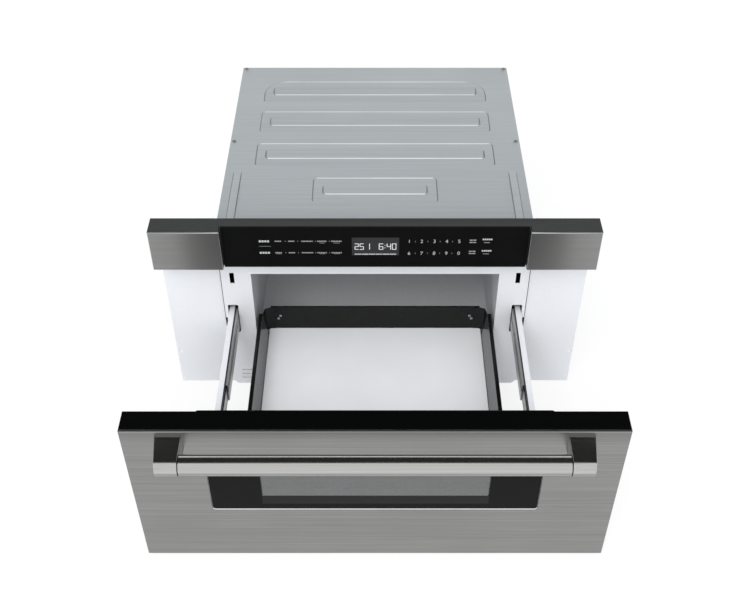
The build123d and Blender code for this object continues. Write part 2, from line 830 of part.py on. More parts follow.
with BuildPart() as panel_wing:
    with BuildSketch(front_view(panel_front_y)):
        with Locations((wing_x, panel_top_z - panel_h / 2)):
            Rectangle(wing_w, panel_h)
    extrude(amount=-panel_d)
    fillet(panel_wing.faces().sort_by(Axis.Y)[0].edges(), edge_r)
    offset(amount=-skin_t, openings=panel_wing.faces().sort_by(Axis.Y)[-1])
    block((0, front_w), (cap_front_y, 0), (panel_top_z - skin_t, panel_top_z), Mode.SUBTRACT)
    block((0, seat_x), (plate_front_y, 0), (panel_bottom_z, panel_top_z), Mode.SUBTRACT)
    with BuildSketch(glass_plane.offset(-glass_t)):
        with Locations((0, glass_l / 2)):
            Rectangle(2 * (wing_inner_x + skin_t), 2 * glass_l)
    extrude(amount=-2 * panel_d, mode=Mode.SUBTRACT)
save_pair(panel_wing, "{}_panel_wing")

with BuildPart() as control_glass:
    with BuildSketch(glass_plane) as glass_outline:
        with Locations((0, glass_l / 2)):
            Rectangle(glass_w, glass_l)
        fillet(glass_outline.vertices().group_by(Axis.Y)[0], glass_corner_r)
    extrude(amount=-glass_t)
save(control_glass, "control_glass")

with BuildPart() as control_board:
    display_middle = glass_l - display_drop
    with BuildSketch(glass_plane.offset(-glass_t)):
        with Locations((display_x, display_middle)):
            Rectangle(display_w, display_h)
    extrude(amount=-display_t)
    with BuildSketch(glass_plane.offset(-glass_t - display_t)):
        with Locations((0, display_middle)):
            Rectangle(board_w, board_h)
    extrude(amount=-board_t)
save(control_board, "control_board")

# ======================================================================================
# Slides
# ======================================================================================


def ball_cage(web_x, tip_x, race_half, ball_r, rear_y, length):
    """Right-hand retainer strip with its balls, between two slide members."""
    with BuildPart() as ball:
        with BuildSketch():
            RegularPolygon(ball_r, ball_sides)
        extrude(amount=ball_r * math.cos(math.pi / ball_sides), both=True)
        caps = ball.faces().filter_by(Axis.Z)
        chamfer(caps[0].edges() + caps[1].edges(), ball_r / 2)
    with BuildPart() as cage:
        strip_h = 2 * race_half + cage_t
        with BuildSketch(front_view(rear_y)):
            add(channel_section(web_x, tip_x - web_x, rail_z, strip_h, cage_t, 0))
        extrude(amount=length)
        with Locations(((web_x + cage_t + tip_x) / 2, rear_y - length / 2, rail_z)):
            with GridLocations(0, ball_pitch, 1, balls_per_race):
                with Locations((0, 0, -race_half), (0, 0, race_half)):
                    add(ball.part)
    return cage


outer_race_h = rail_fixed_h / 2 - rail_t - rail_middle_h / 2
outer_race_half = rail_middle_h / 2 + outer_race_h / 2
inner_race_h = rail_middle_h / 2 - rail_middle_t - rail_inner_h / 2
inner_race_half = rail_inner_h / 2 + inner_race_h / 2
middle_front_y = plate_front_y - middle_travel
rail_middle_web_x = rail_middle_x + rail_middle_t
rail_fixed_web_x = rail_fixed_x + rail_t

with BuildPart() as rail_fixed:
    with BuildSketch(front_view(rail_front_y + rail_fixed_l)):
        add(channel_section(rail_fixed_x, rail_fixed_w, rail_z, rail_fixed_h, rail_t, rail_bend_r))
    extrude(amount=rail_fixed_l)
save_pair(rail_fixed, "{}_rail_fixed")

with BuildPart() as rail_middle:
    with BuildSketch(front_view(middle_front_y + rail_middle_l)):
        add(channel_section(rail_middle_x, rail_middle_w, rail_z, rail_middle_h, rail_middle_t, rail_bend_r))
    extrude(amount=rail_middle_l)
save_pair(rail_middle, "{}_rail_middle")

with BuildPart() as rail_inner:
    with BuildSketch(front_view(arm_rear_y)):
        web_w, web_x = span(arm_x - rail_t, arm_x)
        with Locations((web_x, rail_z)):
            Rectangle(web_w, rail_inner_h)
        lip_w, lip_x = span(rail_inner_x, arm_x)
        lip_z = rail_inner_h / 2 - rail_t / 2
        with Locations((lip_x, rail_z - lip_z), (lip_x, rail_z + lip_z)):
            Rectangle(lip_w, rail_t)
    extrude(amount=rail_inner_l)
save_pair(rail_inner, "{}_rail_inner")

outer_cage = ball_cage((rail_fixed_web_x + rail_middle_x - cage_t) / 2, rail_fixed_x + rail_fixed_w,
                       outer_race_half, outer_race_h / 2 - ball_clearance,
                       middle_front_y + rail_middle_l - cage_end_gap, outer_cage_l)
save_pair(outer_cage, "{}_outer_ball_cage")

inner_cage = ball_cage((rail_middle_web_x + rail_inner_x - cage_t) / 2, rail_middle_x + rail_middle_w,
                       inner_race_half, inner_race_h / 2 - ball_clearance,
                       arm_rear_y - cage_end_gap, inner_cage_l)
save_pair(inner_cage, "{}_inner_ball_cage")

with BuildPart() as rail_brackets:
    foot_x = mouth_w / 2 + liner_t + bracket_t
    top_z = rail_z + rail_fixed_h / 2
    bottom_z = rail_z - rail_fixed_h / 2
    hat = [
        (foot_x, top_z + bracket_foot),
        (foot_x, top_z),
        (rail_fixed_x, top_z),
        (rail_fixed_x, bottom_z),
        (foot_x, bottom_z),
        (foot_x, bottom_z - bracket_foot),
    ]
    for rear_y in (bracket_front_y, bracket_rear_y):
        with BuildSketch(front_view(rear_y)):
            add(folded(hat, bracket_t, bracket_bend_r, Side.RIGHT))
        extrude(amount=bracket_l)
    mirror(about=Plane.YZ)
save(rail_brackets, "rail_brackets")

# ======================================================================================
# Carrying arms and drive
# ======================================================================================

with BuildPart() as arm:
    with BuildSketch(front_view(arm_rear_y)):
        add(channel_section(arm_x, arm_w, arm_top_z - arm_h / 2, arm_h, arm_t, arm_bend_r))
    extrude(amount=arm_rear_y - inner_plate_back_y)
    block((arm_x, arm_x + arm_w), (inner_plate_back_y, inner_plate_back_y + arm_t),
          (arm_bottom_z + arm_bend_r, arm_top_z - arm_bend_r))
save_pair(arm, "{}_arm")


def involute_flank(teeth, module, angle, points=3):
    """Half-angle and radius of points up the flank of a tooth, from the root to the tip."""
    pitch_r = teeth * module / 2
    base_r = pitch_r * math.cos(math.radians(angle))
    root_r = pitch_r - dedendum * module
    tip_r = pitch_r + addendum * module
    alpha = math.radians(angle)
    half_tooth = (math.pi * module / 2 - backlash) / 2 / pitch_r
    flank = [(half_tooth + math.tan(alpha) - alpha, root_r)]
    for step in range(points):
        radius = max(base_r, root_r) + (tip_r - max(base_r, root_r)) * step / (points - 1)
        roll = math.acos(min(1, base_r / radius))
        flank.append((half_tooth + math.tan(alpha) - alpha - (math.tan(roll) - roll), radius))
    return flank


pinion_plane = Plane(origin=(gear_x, pinion_y, pinion_z), x_dir=(0, 1, 0), z_dir=(1, 0, 0))

with BuildPart() as drive_pinion:
    flank = involute_flank(pinion_teeth, gear_module, pressure_angle)
    rim = []
    for tooth in range(pinion_teeth):
        centre = math.pi / 2 + 2 * math.pi * tooth / pinion_teeth
        for turn, radius in flank:
            rim.append((centre - turn, radius))
        for turn, radius in reversed(flank):
            rim.append((centre + turn, radius))
    with BuildSketch(pinion_plane):
        with BuildLine():
            Polyline(*[(r * math.cos(a), r * math.sin(a)) for a, r in rim], close=True)
        make_face()
    extrude(amount=gear_w)
    with BuildSketch(pinion_plane):
        Circle(pinion_shaft_r)
    extrude(amount=-pinion_shaft_l)
    with BuildSketch(pinion_plane):
        RegularPolygon(pinion_collar_r, hub_sides)
    extrude(amount=-pinion_collar_t)
save(drive_pinion, "drive_pinion")

with BuildPart() as drive_rack:
    tooth_pitch = math.pi * gear_module
    slope = math.tan(math.radians(pressure_angle))
    tip_z = rack_pitch_z - addendum * gear_module
    half_tooth = (tooth_pitch / 2 - backlash) / 2
    tip_half = half_tooth - (rack_pitch_z - tip_z) * slope
    root_half = half_tooth + (rack_root_z - rack_pitch_z) * slope
    last_gap_y = pinion_y + math.floor((rack_rear_y - pinion_y) / tooth_pitch) * tooth_pitch
    tooth_count = math.floor((last_gap_y - inner_plate_back_y - rack_front_gap) / tooth_pitch)
    outline_points = [(last_gap_y, arm_bottom_z), (last_gap_y, rack_root_z)]
    for tooth in range(tooth_count):
        tooth_y = last_gap_y - (tooth + 0.5) * tooth_pitch
        outline_points.append((tooth_y + root_half, rack_root_z))
        outline_points.append((tooth_y + tip_half, tip_z))
        outline_points.append((tooth_y - tip_half, tip_z))
        outline_points.append((tooth_y - root_half, rack_root_z))
    rack_front_y = last_gap_y - tooth_count * tooth_pitch
    outline_points.append((rack_front_y, rack_root_z))
    outline_points.append((rack_front_y, arm_bottom_z))
    with BuildSketch(side_view(gear_x)):
        with BuildLine():
            Polyline(*outline_points, close=True)
        make_face()
    extrude(amount=gear_w)
save(drive_rack, "drive_rack")

with BuildPart() as drive_motor:
    wall_x = mouth_w / 2 + liner_t
    box_x = gear_x - gearbox_gap - gearbox_w
    box_y = pinion_y + gearbox_dy
    box_z = pinion_z - gearbox_dz
    with BuildSketch(side_view(box_x)) as gearbox:
        with Locations((box_y, box_z)):
            Rectangle(gearbox_d, gearbox_h)
        chamfer(gearbox.vertices(), gearbox_corner)
    extrude(amount=gearbox_w)
    with BuildSketch(side_view(wall_x)):
        with Locations((box_y, box_z)):
            Rectangle(motor_plate_w, motor_plate_h)
    extrude(amount=box_x - wall_x + motor_plate_t)
    with Locations(pinion_plane):
        Cylinder(pinion_shaft_r + running_clearance, 2 * gearbox_w, mode=Mode.SUBTRACT)
    with BuildSketch(plan_view(box_z - gearbox_h / 2)):
        with Locations((box_x + gearbox_w / 2, pinion_y + motor_dy)):
            RegularPolygon(motor_r, hub_sides)
    extrude(amount=-motor_l)
save(drive_motor, "drive_motor")

# ======================================================================================
# Door interlock
# ======================================================================================

prong_top_z = latch_slot_bottom_z + latch_slot_h - prong_drop
prong_bottom_z = prong_top_z - prong_h
barb_z = prong_bottom_z - prong_barb
prong_tip_y = inner_plate_back_y + prong_l
plunger_front_y = prong_tip_y + drawer_travel + plunger_gap
plunger_z = prong_bottom_z + prong_nose_h / 2

with BuildPart() as interlock_prongs:
    for side in (-1, 1):
        with BuildSketch(side_view(side * latch_x - prong_w / 2)):
            with BuildLine():
                Polyline(
                    (inner_plate_back_y, prong_top_z),
                    (prong_tip_y - prong_nose_l, prong_top_z),
                    (prong_tip_y, prong_bottom_z + prong_nose_h),
                    (prong_tip_y, prong_bottom_z),
                    (prong_tip_y - barb_l, barb_z),
                    (prong_tip_y - barb_l - barb_land, barb_z),
                    (prong_tip_y - barb_l - barb_land, prong_bottom_z),
                    (inner_plate_back_y, barb_z),
                    close=True,
                )
            make_face()
        extrude(amount=prong_w)
save(interlock_prongs, "interlock_prongs")

with BuildPart() as interlock_housings:
    channel_half = (latch_slot_w + interlock_clear) / 2
    channel_bottom_z = latch_slot_bottom_z - interlock_clear / 2
    channel_z = (channel_bottom_z, channel_bottom_z + latch_slot_h + interlock_clear)
    channel_rear_y = plunger_front_y + plunger_head_t + plunger_travel + interlock_clear / 2
    housing_z = latch_slot_bottom_z + latch_slot_h / 2
    for side in (-1, 1):
        centre_x = side * latch_x
        block((centre_x - interlock_w / 2, centre_x + interlock_w / 2),
              (plate_back_y, plate_back_y + interlock_l),
              (housing_z - interlock_h / 2, housing_z + interlock_h / 2))
        block((centre_x - channel_half, centre_x + channel_half), (plate_back_y, channel_rear_y), channel_z,
              Mode.SUBTRACT)
        with Locations(Plane(origin=(centre_x, plate_back_y + interlock_l, plunger_z),
                             x_dir=(1, 0, 0), z_dir=(0, 1, 0))):
            Cylinder(plunger_r + running_clearance, 2 * interlock_l, mode=Mode.SUBTRACT)
save(interlock_housings, "interlock_housings")

with BuildPart() as plunger:
    with BuildSketch(front_view(plunger_front_y)):
        with Locations((latch_x, plunger_z)):
            RegularPolygon(plunger_head_r, 8)
    extrude(amount=-plunger_head_t)
    with BuildSketch(front_view(plunger_front_y)):
        with Locations((latch_x, plunger_z)):
            Circle(plunger_r)
    extrude(amount=-plunger_l)
save_pair(plunger, "{}_interlock_plunger")

# ======================================================================================
# Door
# ======================================================================================

door_z = door_top_z - door_h / 2
door_cap_front_y = door_front_y + edge_r + door_top_land

with BuildPart() as door_skin:
    with BuildSketch(front_view(door_front_y)):
        with Locations((0, door_z)):
            Rectangle(front_w, door_h)
    extrude(amount=-door_skin_d)
    fillet(door_skin.faces().sort_by(Axis.Y)[0].edges(), edge_r)
    offset(amount=-skin_t, openings=door_skin.faces().sort_by(Axis.Y)[-1])
    block((-front_w, front_w), (door_cap_front_y, 0), (door_top_z - skin_t, door_top_z), Mode.SUBTRACT)
    with BuildSketch(front_view(door_front_y)):
        with Locations((0, window_z)):
            RectangleRounded(window_w, window_h, window_r)
    extrude(amount=-skin_t, mode=Mode.SUBTRACT)
save(door_skin, "door_skin")

with BuildPart() as door_frame:
    frame_x = front_w / 2 - skin_t
    frame_front_y = door_front_y + skin_t
    frame_bottom_z = door_bottom_z + skin_t
    frame_top_z = door_top_z - cap_t
    block((-frame_x, frame_x), (frame_front_y, door_back_y), (frame_bottom_z, frame_top_z))
    fillet(door_frame.faces().sort_by(Axis.Y)[0].edges(), edge_r - skin_t)
    block((-front_w / 2, front_w / 2), (door_cap_front_y, door_back_y), (frame_top_z, door_top_z))
    hollow_x = frame_x - frame_wall
    block((-hollow_x, hollow_x), (frame_front_y + frame_wall, door_back_y - frame_wall),
          (frame_bottom_z + frame_wall, frame_top_z - frame_wall), Mode.SUBTRACT)
    with BuildSketch(front_view(door_back_y)):
        with Locations((0, door_z)):
            Rectangle(inner_plate_w - 2 * inner_plate_seat, inner_plate_h - 2 * inner_plate_seat)
    extrude(amount=frame_wall, mode=Mode.SUBTRACT)
    ledge_y = door_front_y + window_glass_t
    with BuildSketch(front_view(frame_front_y)):
        with Locations((0, window_z)):
            RectangleRounded(window_w + 2 * frame_wall, window_h + 2 * frame_wall, window_r)
    extrude(amount=frame_front_y - door_back_y)
    with BuildSketch(front_view(frame_front_y)):
        with Locations((0, window_z)):
            RectangleRounded(window_w, window_h, window_r)
    extrude(amount=frame_front_y - ledge_y, mode=Mode.SUBTRACT)
    with BuildSketch(front_view(ledge_y)):
        with Locations((0, window_z)):
            Rectangle(window_w - 2 * window_lip, window_h - 2 * window_lip)
    extrude(amount=ledge_y - door_back_y, mode=Mode.SUBTRACT)
save(door_frame, "door_frame")

with BuildPart() as window_glass:
    with BuildSketch(front_view(door_front_y)):
        with Locations((0, window_z)):
            RectangleRounded(window_w - 2 * window_fit, window_h - 2 * window_fit, window_r - window_fit)
    extrude(amount=-window_glass_t)
save(window_glass, "window_glass")

screen_h, screen_z = span(screen_bottom_z, screen_top_z)

with BuildPart() as window_screen:
    with BuildSketch(front_view(door_back_y)):
        with Locations((0, screen_z)):
            Rectangle(screen_w + 2 * screen_margin, screen_h + 2 * screen_margin)
    extrude(amount=screen_t)
save(window_screen, "window_screen")

with BuildPart() as door_inner_plate:
    with BuildSketch(front_view(door_back_y)):
        with Locations((0, door_z)):
            RectangleRounded(inner_plate_w, inner_plate_h, inner_plate_r)
        with Locations((0, screen_z)):
            Rectangle(screen_w, screen_h, mode=Mode.SUBTRACT)
    extrude(amount=-inner_plate_t)
save(door_inner_plate, "door_inner_plate")

post_front_y = handle_y - post_r

with BuildPart() as handle_posts:
    for side in (-1, 1):
        with BuildSketch(side_view(side * post_inner_x)):
            with Locations((handle_y, handle_z)):
                Circle(post_r)
            with Locations((handle_y + handle_axis_gap / 2, handle_z)):
                Rectangle(handle_axis_gap, 2 * post_r)
        extrude(amount=side * (post_foot_x - post_inner_x))
        with BuildSketch(Plane.XY.offset(handle_z - post_r)):
            with BuildLine():
                Polyline(
                    (side * post_foot_x, door_front_y),
                    (side * post_outer_x, post_front_y + post_edge),
                    (side * (post_outer_x - post_edge), post_front_y),
                    (side * post_foot_x, post_front_y),
                    close=True,
                )
            make_face()
        extrude(amount=2 * post_r, mode=Mode.SUBTRACT)
save(handle_posts, "handle_posts")

with BuildPart() as handle_bar:
    with BuildSketch(side_view(-post_inner_x)):
        with Locations((handle_y, handle_z)):
            Circle(bar_r - groove_depth)
    extrude(amount=2 * post_inner_x)
    with BuildSketch(side_view(-post_inner_x + groove_w)):
        with Locations((handle_y, handle_z)):
            Circle(bar_r)
    extrude(amount=2 * (post_inner_x - groove_w))
save(handle_bar, "handle_bar")

# ======================================================================================
# Tray
# ======================================================================================

tray_x = tray_w / 2
tray_bottom_z = tray_floor_z - tray_glass_t - tray_base_t

with BuildPart() as tray_wall:
    rim_in_x = tray_x - tray_rim_w
    foot_x = rim_in_x - tray_slope
    wall = [(tray_x, tray_bottom_z), (tray_x, tray_rim_z), (rim_in_x, tray_rim_z), (foot_x, tray_floor_z)]
    with BuildSketch(front_view(tray_wall_rear_y)):
        add(folded(wall, tray_sheet_t, tray_bend_r))
    extrude(amount=tray_wall_rear_y - inner_plate_back_y)
save_pair(tray_wall, "tray_{}_wall")

with BuildPart() as tray_rear_wall:
    with BuildSketch(side_view(-tray_corner_x)):
        lip_y = tray_rear_y + tray_rear_lip
        wall = [(tray_rear_y, tray_bottom_z), (tray_rear_y, tray_rim_z), (lip_y, tray_rim_z)]
        add(folded(wall, tray_sheet_t, tray_bend_r, Side.RIGHT))
    extrude(amount=2 * tray_corner_x)
save(tray_rear_wall, "tray_rear_wall")

with BuildPart() as tray_base:
    base_x = tray_x - tray_sheet_t
    with BuildSketch(plan_view(tray_bottom_z)):
        with BuildLine():
            Polyline(
                (-base_x, inner_plate_back_y),
                (base_x, inner_plate_back_y),
                (base_x, tray_wall_rear_y),
                (tray_corner_x, tray_rear_y),
                (-tray_corner_x, tray_rear_y),
                (-base_x, tray_wall_rear_y),
                close=True,
            )
        make_face()
    extrude(amount=tray_base_t)
save(tray_base, "tray_base")

with BuildPart() as tray_glass:
    glass_half = foot_x - tray_glass_gap
    with BuildSketch(plan_view(tray_bottom_z + tray_base_t)):
        length, middle = span(inner_plate_back_y, tray_rear_y)
        with Locations((0, middle)):
            Rectangle(2 * glass_half, length)
    extrude(amount=tray_glass_t)
save(tray_glass, "tray_glass")

with BuildPart() as tray_corner_brackets:
    corner = [
        (tray_corner_x - corner_leg, tray_rear_y),
        (tray_corner_x, tray_rear_y),
        (tray_corner_x + corner_leg, tray_rear_y - corner_cut),
        (tray_x - tray_rim_w, tray_wall_rear_y + corner_t / 2),
    ]
    with BuildSketch(plan_view(tray_bottom_z + tray_base_t + tray_glass_t)):
        add(folded(corner, corner_t, corner_t, Side.RIGHT))
    extrude(amount=tray_rim_z - tray_floor_z - corner_drop)
    mirror(about=Plane.YZ)
save(tray_corner_brackets, "tray_corner_brackets")

with BuildPart() as drawer_screws:
    with BuildSketch(front_view(tray_rear_y)):
        with Locations(*[(side * x, z) for side in (-1, 1) for x, z in tray_screw_places]):
            RegularPolygon(tray_screw_r, 6)
    extrude(amount=tray_screw_h)
save(drawer_screws, "drawer_screws")
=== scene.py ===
"""Looks of the built-in microwave drawer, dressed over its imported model.

Lengths are written in millimetres and turned to metres as each mesh is made. X points right, Y points
back into the cabinet and Z points up, as in the part's source.
"""

import json
import math

import bmesh
import bpy
from mathutils import Matrix

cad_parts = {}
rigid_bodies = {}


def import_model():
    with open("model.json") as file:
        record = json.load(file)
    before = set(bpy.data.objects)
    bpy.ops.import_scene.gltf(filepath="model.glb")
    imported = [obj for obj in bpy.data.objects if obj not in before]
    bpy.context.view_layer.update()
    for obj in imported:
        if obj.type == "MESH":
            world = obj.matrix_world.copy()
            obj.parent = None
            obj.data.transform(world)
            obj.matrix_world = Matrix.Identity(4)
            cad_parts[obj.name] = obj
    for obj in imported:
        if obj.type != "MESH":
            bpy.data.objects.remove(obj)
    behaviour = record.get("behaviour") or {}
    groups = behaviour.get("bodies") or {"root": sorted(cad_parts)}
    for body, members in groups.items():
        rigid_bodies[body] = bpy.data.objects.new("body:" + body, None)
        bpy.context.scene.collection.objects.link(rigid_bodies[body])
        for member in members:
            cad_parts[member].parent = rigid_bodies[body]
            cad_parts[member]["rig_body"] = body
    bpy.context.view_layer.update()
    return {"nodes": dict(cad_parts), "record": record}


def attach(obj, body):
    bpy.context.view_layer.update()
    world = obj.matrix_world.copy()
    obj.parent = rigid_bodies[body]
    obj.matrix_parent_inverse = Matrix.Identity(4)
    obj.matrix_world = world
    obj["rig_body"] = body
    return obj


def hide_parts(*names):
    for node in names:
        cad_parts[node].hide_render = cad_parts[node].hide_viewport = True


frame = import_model()
scene = bpy.context.scene

MM = 0.001
SIDES = (-1, 1)  # left and right of mid-width

# --- Sizes repeated from the part's source ---
PANEL_TOP_Z = 398.0
PANEL_BOTTOM_Z = 315.6
GLASS_BOTTOM_Y = -32.2  # front of the control glass at its lower edge
GLASS_TOP_Y = -26.2  # and at its upper edge
CASE_W = 547.0
CASE_D = 537.0
CASE_H = 370.0
SHEET_T = 0.8
PLATE_BACK_Y = -2.0
PLATE_FRONT_Y = -3.2
CASE_SCREW_X = 266.5
CASE_SCREW_YS = (266.3, 531.0)
CASE_SCREW_ZS = (30.0, 340.0)
TRAY_SCREWS = ((178.0, 135.5), (182.0, 128.5))
TRAY_SCREW_Y = 35.8
LOUVRE_COUNT = 3
LOUVRE_PITCH = 10.3
LOUVRE_LOW_Z = 8.7  # over the lowest slot
DOOR_FRONT_Y = -394.3
DOOR_BACK_Y = -353.8
WINDOW = (-259.0, 259.0, 115.6, 237.7)  # window glass: left, right, bottom, top
WINDOW_R = 4.7
WINDOW_T = 4.0
TRAY_RIM_Z = 158.0  # top of the tray's side walls
HANDLE_Y = -438.6
HANDLE_Z = 286.6
BAR_R = 15.8
POST_R = 16.44
POST_IN_X = 286.3
POST_OUT_X = 319.7  # at the front of the bar
POST_FOOT_X = 326.7  # at the door

# Pressed loops of the top cover: half-width, front, rear, rear corner radius, hole half-width, front, rear.
TOP_LOOPS = (
    (222.0, 404.4, 481.5, 46.0, 203.0, 430.1, 455.8),
    (222.0, 298.2, 370.1, 9.0, 202.5, 320.5, 347.8),
    (222.0, 187.7, 260.6, 9.0, 203.0, 210.9, 237.4),
    (112.0, 77.9, 151.7, 9.0, 93.0, 101.8, 127.8),
)
BEAD_H = 2.0
BEAD_SLOPE = 2.6  # width of a slope that faces aside
REAR_SLOPE = 6.2  # width of a slope that faces the rear
SLOPE_SHARES = (0.0, 0.12, 0.35, 0.65, 0.88, 1.0)  # where a slope has points, from its foot to its top

# --- Sizes of what is printed or ground on the window glass ---
CLEAR_ZONE = (-178.0, 180.0, 133.1, 222.0)  # unprinted middle: left, right, bottom, top
WINDOW_RIM = 4.4  # height of the ground rim along the lower edge
DOT_BOTTOM_Z = 153.4  # the dots end here


# ===== Finishes =====


def linear(code):
    """An sRGB hex colour as linear RGBA."""
    values = [int(code[i:i + 2], 16) / 255 for i in (1, 3, 5)]
    return [v / 12.92 if v <= 0.04045 else ((v + 0.055) / 1.055) ** 2.4 for v in values] + [1.0]


def add(tree, kind, inputs=None, **settings):
    """Add one node with its settings, its input values and its links."""
    made = tree.nodes.new(kind)
    for label, value in settings.items():
        setattr(made, label, value)
    for key, value in (inputs or {}).items():
        if isinstance(value, bpy.types.NodeSocket):
            tree.links.new(value, made.inputs[key])
        else:
            made.inputs[key].default_value = value
    return made


def maths(tree, operation, *values):
    """The output of a math node."""
    return add(tree, "ShaderNodeMath", dict(enumerate(values)), operation=operation).outputs[0]


def vector(tree, **parts):
    """The output of a node that puts a vector together from X, Y and Z."""
    return add(tree, "ShaderNodeCombineXYZ", parts).outputs[0]


def ramp(tree, value, start, end, low=0.0, high=1.0, kind="SMOOTHSTEP"):
    """A value taken from one range to another."""
    ranges = {"Value": value, "From Min": start, "From Max": end, "To Min": low, "To Max": high}
    return add(tree, "ShaderNodeMapRange", ranges, interpolation_type=kind).outputs[0]


def blend(tree, share, first, second):
    """A colour between two."""
    return add(tree, "ShaderNodeMix", {"Factor": share, "A": first, "B": second},
               data_type="RGBA").outputs["Result"]


def together(tree, *parts):
    """The output of a node that joins geometry."""
    made = add(tree, "GeometryNodeJoinGeometry")
    for part in parts:
        tree.links.new(part, made.inputs[0])
    return made.outputs[0]


def finish(name, pale, deep, grain, metallic=0.0, rough=(0.35, 0.45), bump=0.0, cloud=90.0,
           cloud_tint=0.12, detail=3.0, darker=None, facing=(), **sockets):
    """A finish whose colour wanders between two hex colours along a grain given in millimetres.

    rough is the range of its roughness, bump the height of its grain in millimetres, and cloud the size
    of the soft marks that handling and rolling leave. darker = (axis, from, to, hex) deepens the colour
    along one axis, in millimetres from the origin. Each row of facing tints the faces that turn one
    way: (axis, both ways, from, to, hex), with from and to as shares of a full turn towards that axis.
    """
    material = bpy.data.materials.new(name)
    material.use_nodes = True
    tree = material.node_tree
    shader = tree.nodes["Principled BSDF"]
    where = add(tree, "ShaderNodeTexCoord").outputs["Object"]
    grains = add(tree, "ShaderNodeMapping", {"Vector": where, "Scale": [1 / (MM * size) for size in grain]})
    fine = add(tree, "ShaderNodeTexNoise", {"Vector": grains.outputs[0], "Scale": 1.0, "Detail": detail})
    clouds = add(tree, "ShaderNodeTexNoise", {"Vector": where, "Scale": 1 / (MM * cloud), "Detail": 2.0})
    spread = ramp(tree, fine.outputs["Fac"], 0.3, 0.7, kind="LINEAR")
    colour = blend(tree, spread, linear(deep), linear(pale))
    if darker:
        axis, start, end, code = darker
        apart = add(tree, "ShaderNodeSeparateXYZ", {"Vector": where})
        away = maths(tree, "ABSOLUTE", apart.outputs[axis])
        colour = blend(tree, ramp(tree, away, start * MM, end * MM), colour, linear(code))
    if facing:
        flat_normal = add(tree, "ShaderNodeNewGeometry").outputs["True Normal"]
        turned = add(tree, "ShaderNodeSeparateXYZ", {"Vector": flat_normal})
        for axis, both_ways, start, end, code in facing:
            lean = turned.outputs[axis]
            if both_ways:
                lean = maths(tree, "ABSOLUTE", lean)
            colour = blend(tree, ramp(tree, lean, start, end), colour, linear(code))
    marks = ramp(tree, clouds.outputs["Fac"], 0.35, 0.65, high=cloud_tint, kind="LINEAR")
    polish = ramp(tree, clouds.outputs["Fac"], 0.3, 0.7, *rough, kind="LINEAR")
    tree.links.new(blend(tree, marks, colour, linear(deep)), shader.inputs["Base Color"])
    tree.links.new(polish, shader.inputs["Roughness"])
    if bump:
        relief = add(tree, "ShaderNodeBump", {
            "Height": fine.outputs["Fac"], "Distance": bump * MM, "Strength": 1.0})
        tree.links.new(relief.outputs[0], shader.inputs["Normal"])
    shader.inputs["Metallic"].default_value = metallic
    for label, value in sockets.items():
        shader.inputs[label.replace("_", " ")].default_value = value
    return material


# Brushed 430 stainless sheet: long faint lines from side to side. The real lines are 0.1 mm apart and
# are drawn 2 mm apart, because finer ones would not show.
brushed_stainless = finish("brushed_stainless", "#949493", "#8c8c8b", (420, 2.6, 2.6), 1.0, (0.28, 0.34),
                           0.0012, cloud=140, cloud_tint=0.3)
# The door's sheet: painted shade darkens it below its folded upper edge, and a painted highlight lies on the
# fold.
door_sheet = finish("brushed_stainless_door", "#979796", "#878786", (260, 2.6, 2.6), 1.0, (0.28, 0.34),
                    0.0012, cloud=140, cloud_tint=0.3, darker=(2, 278, 309, "#7f7f7e"),
                    facing=((2, False, 0.08, 0.35, "#9b9b9a"), (2, False, 0.65, 0.9, "#b4b4b3")))
# The same sheet on the control panel's wings, with painted shade that darkens it towards the glass.
# Painted highlights lie on its folded upper and inner edges; flat side and top faces keep about the plain
# grey.
brushed_wing = finish("brushed_stainless_wing", "#999998", "#919190", (320, 2.2, 2.2), 1.0, (0.36, 0.4),
                      0.0008, darker=(0, 346, 297, "#848483"),
                      facing=((2, False, 0.1, 0.4, "#c6c7c7"), (0, True, 0.2, 0.6, "#bdbebe"),
                              (0, True, 0.85, 0.98, "#999998"), (2, False, 0.8, 0.97, "#8e8e8d")))
# Satin-turned stainless tube: brighter than the sheet, with lines round the bar.
# Faces turned away from upward are painted darker, most of all those facing down: painted shade.
satin_tube = finish("satin_stainless_tube", "#c0c0be", "#b6b6b4", (420, 1.8, 1.8), 1.0, (0.17, 0.21), 0.0012,
                    facing=((2, False, 0.24, -0.12, "#8f8f8d"),))
# Cast and ground handle posts, the same colour, with a finer scatter.
# Like the tube, its faces turned down are painted darker as painted shade.
ground_post = finish("ground_stainless_post", "#c2c2c0", "#b8b8b6", (30, 1.4, 1.4), 1.0, (0.17, 0.22), 0.0012,
                     facing=((2, False, 0.24, -0.12, "#8f8f8d"),))
# Hot-dip galvanised sheet, skin-passed: a flat pale grey with rolling streaks from side to side.
galvanised = finish("galvanised_sheet", "#b1b7b9", "#a9afb1", (320, 4.0, 9.0), 0.2, (0.4, 0.48), 0.001,
                    cloud=160, cloud_tint=0.3)
# The same sheet on the top cover: a painted highlight on the slopes facing back, painted shade on those
# facing aside.
pressed_sheet = finish("pressed_galvanised_sheet", "#aaafb1", "#a0a6a8", (260, 3.2, 9.0), 0.2, (0.4, 0.48),
                       0.001, cloud=160, cloud_tint=0.3,
                       facing=((1, False, 0.09, 0.2, "#eef1f2"), (0, True, 0.06, 0.16, "#666d6f")))
# Powder-coated steel of the front plate, flanges and arms: white, with a slight orange peel.
white_enamel = finish("white_powder_coat", "#e3e5e8", "#dfe1e5", (2.4, 2.4, 2.4), 0.0, (0.34, 0.42), 0.008)
# Grey vitreous enamel of the cavity.
grey_enamel = finish("grey_vitreous_enamel", "#d6d8da", "#ced0d2", (3.0, 3.0, 3.0), 0.0, (0.28, 0.36), 0.01)
# Black vitreous enamel of the tray and the door's inner plate: near black, soft gloss.
dark_enamel = finish("black_vitreous_enamel", "#0b0b0b", "#080808", (2.6, 2.6, 2.6), 0.0, (0.24, 0.32), 0.006,
                     Specular_IOR_Level=0.25)
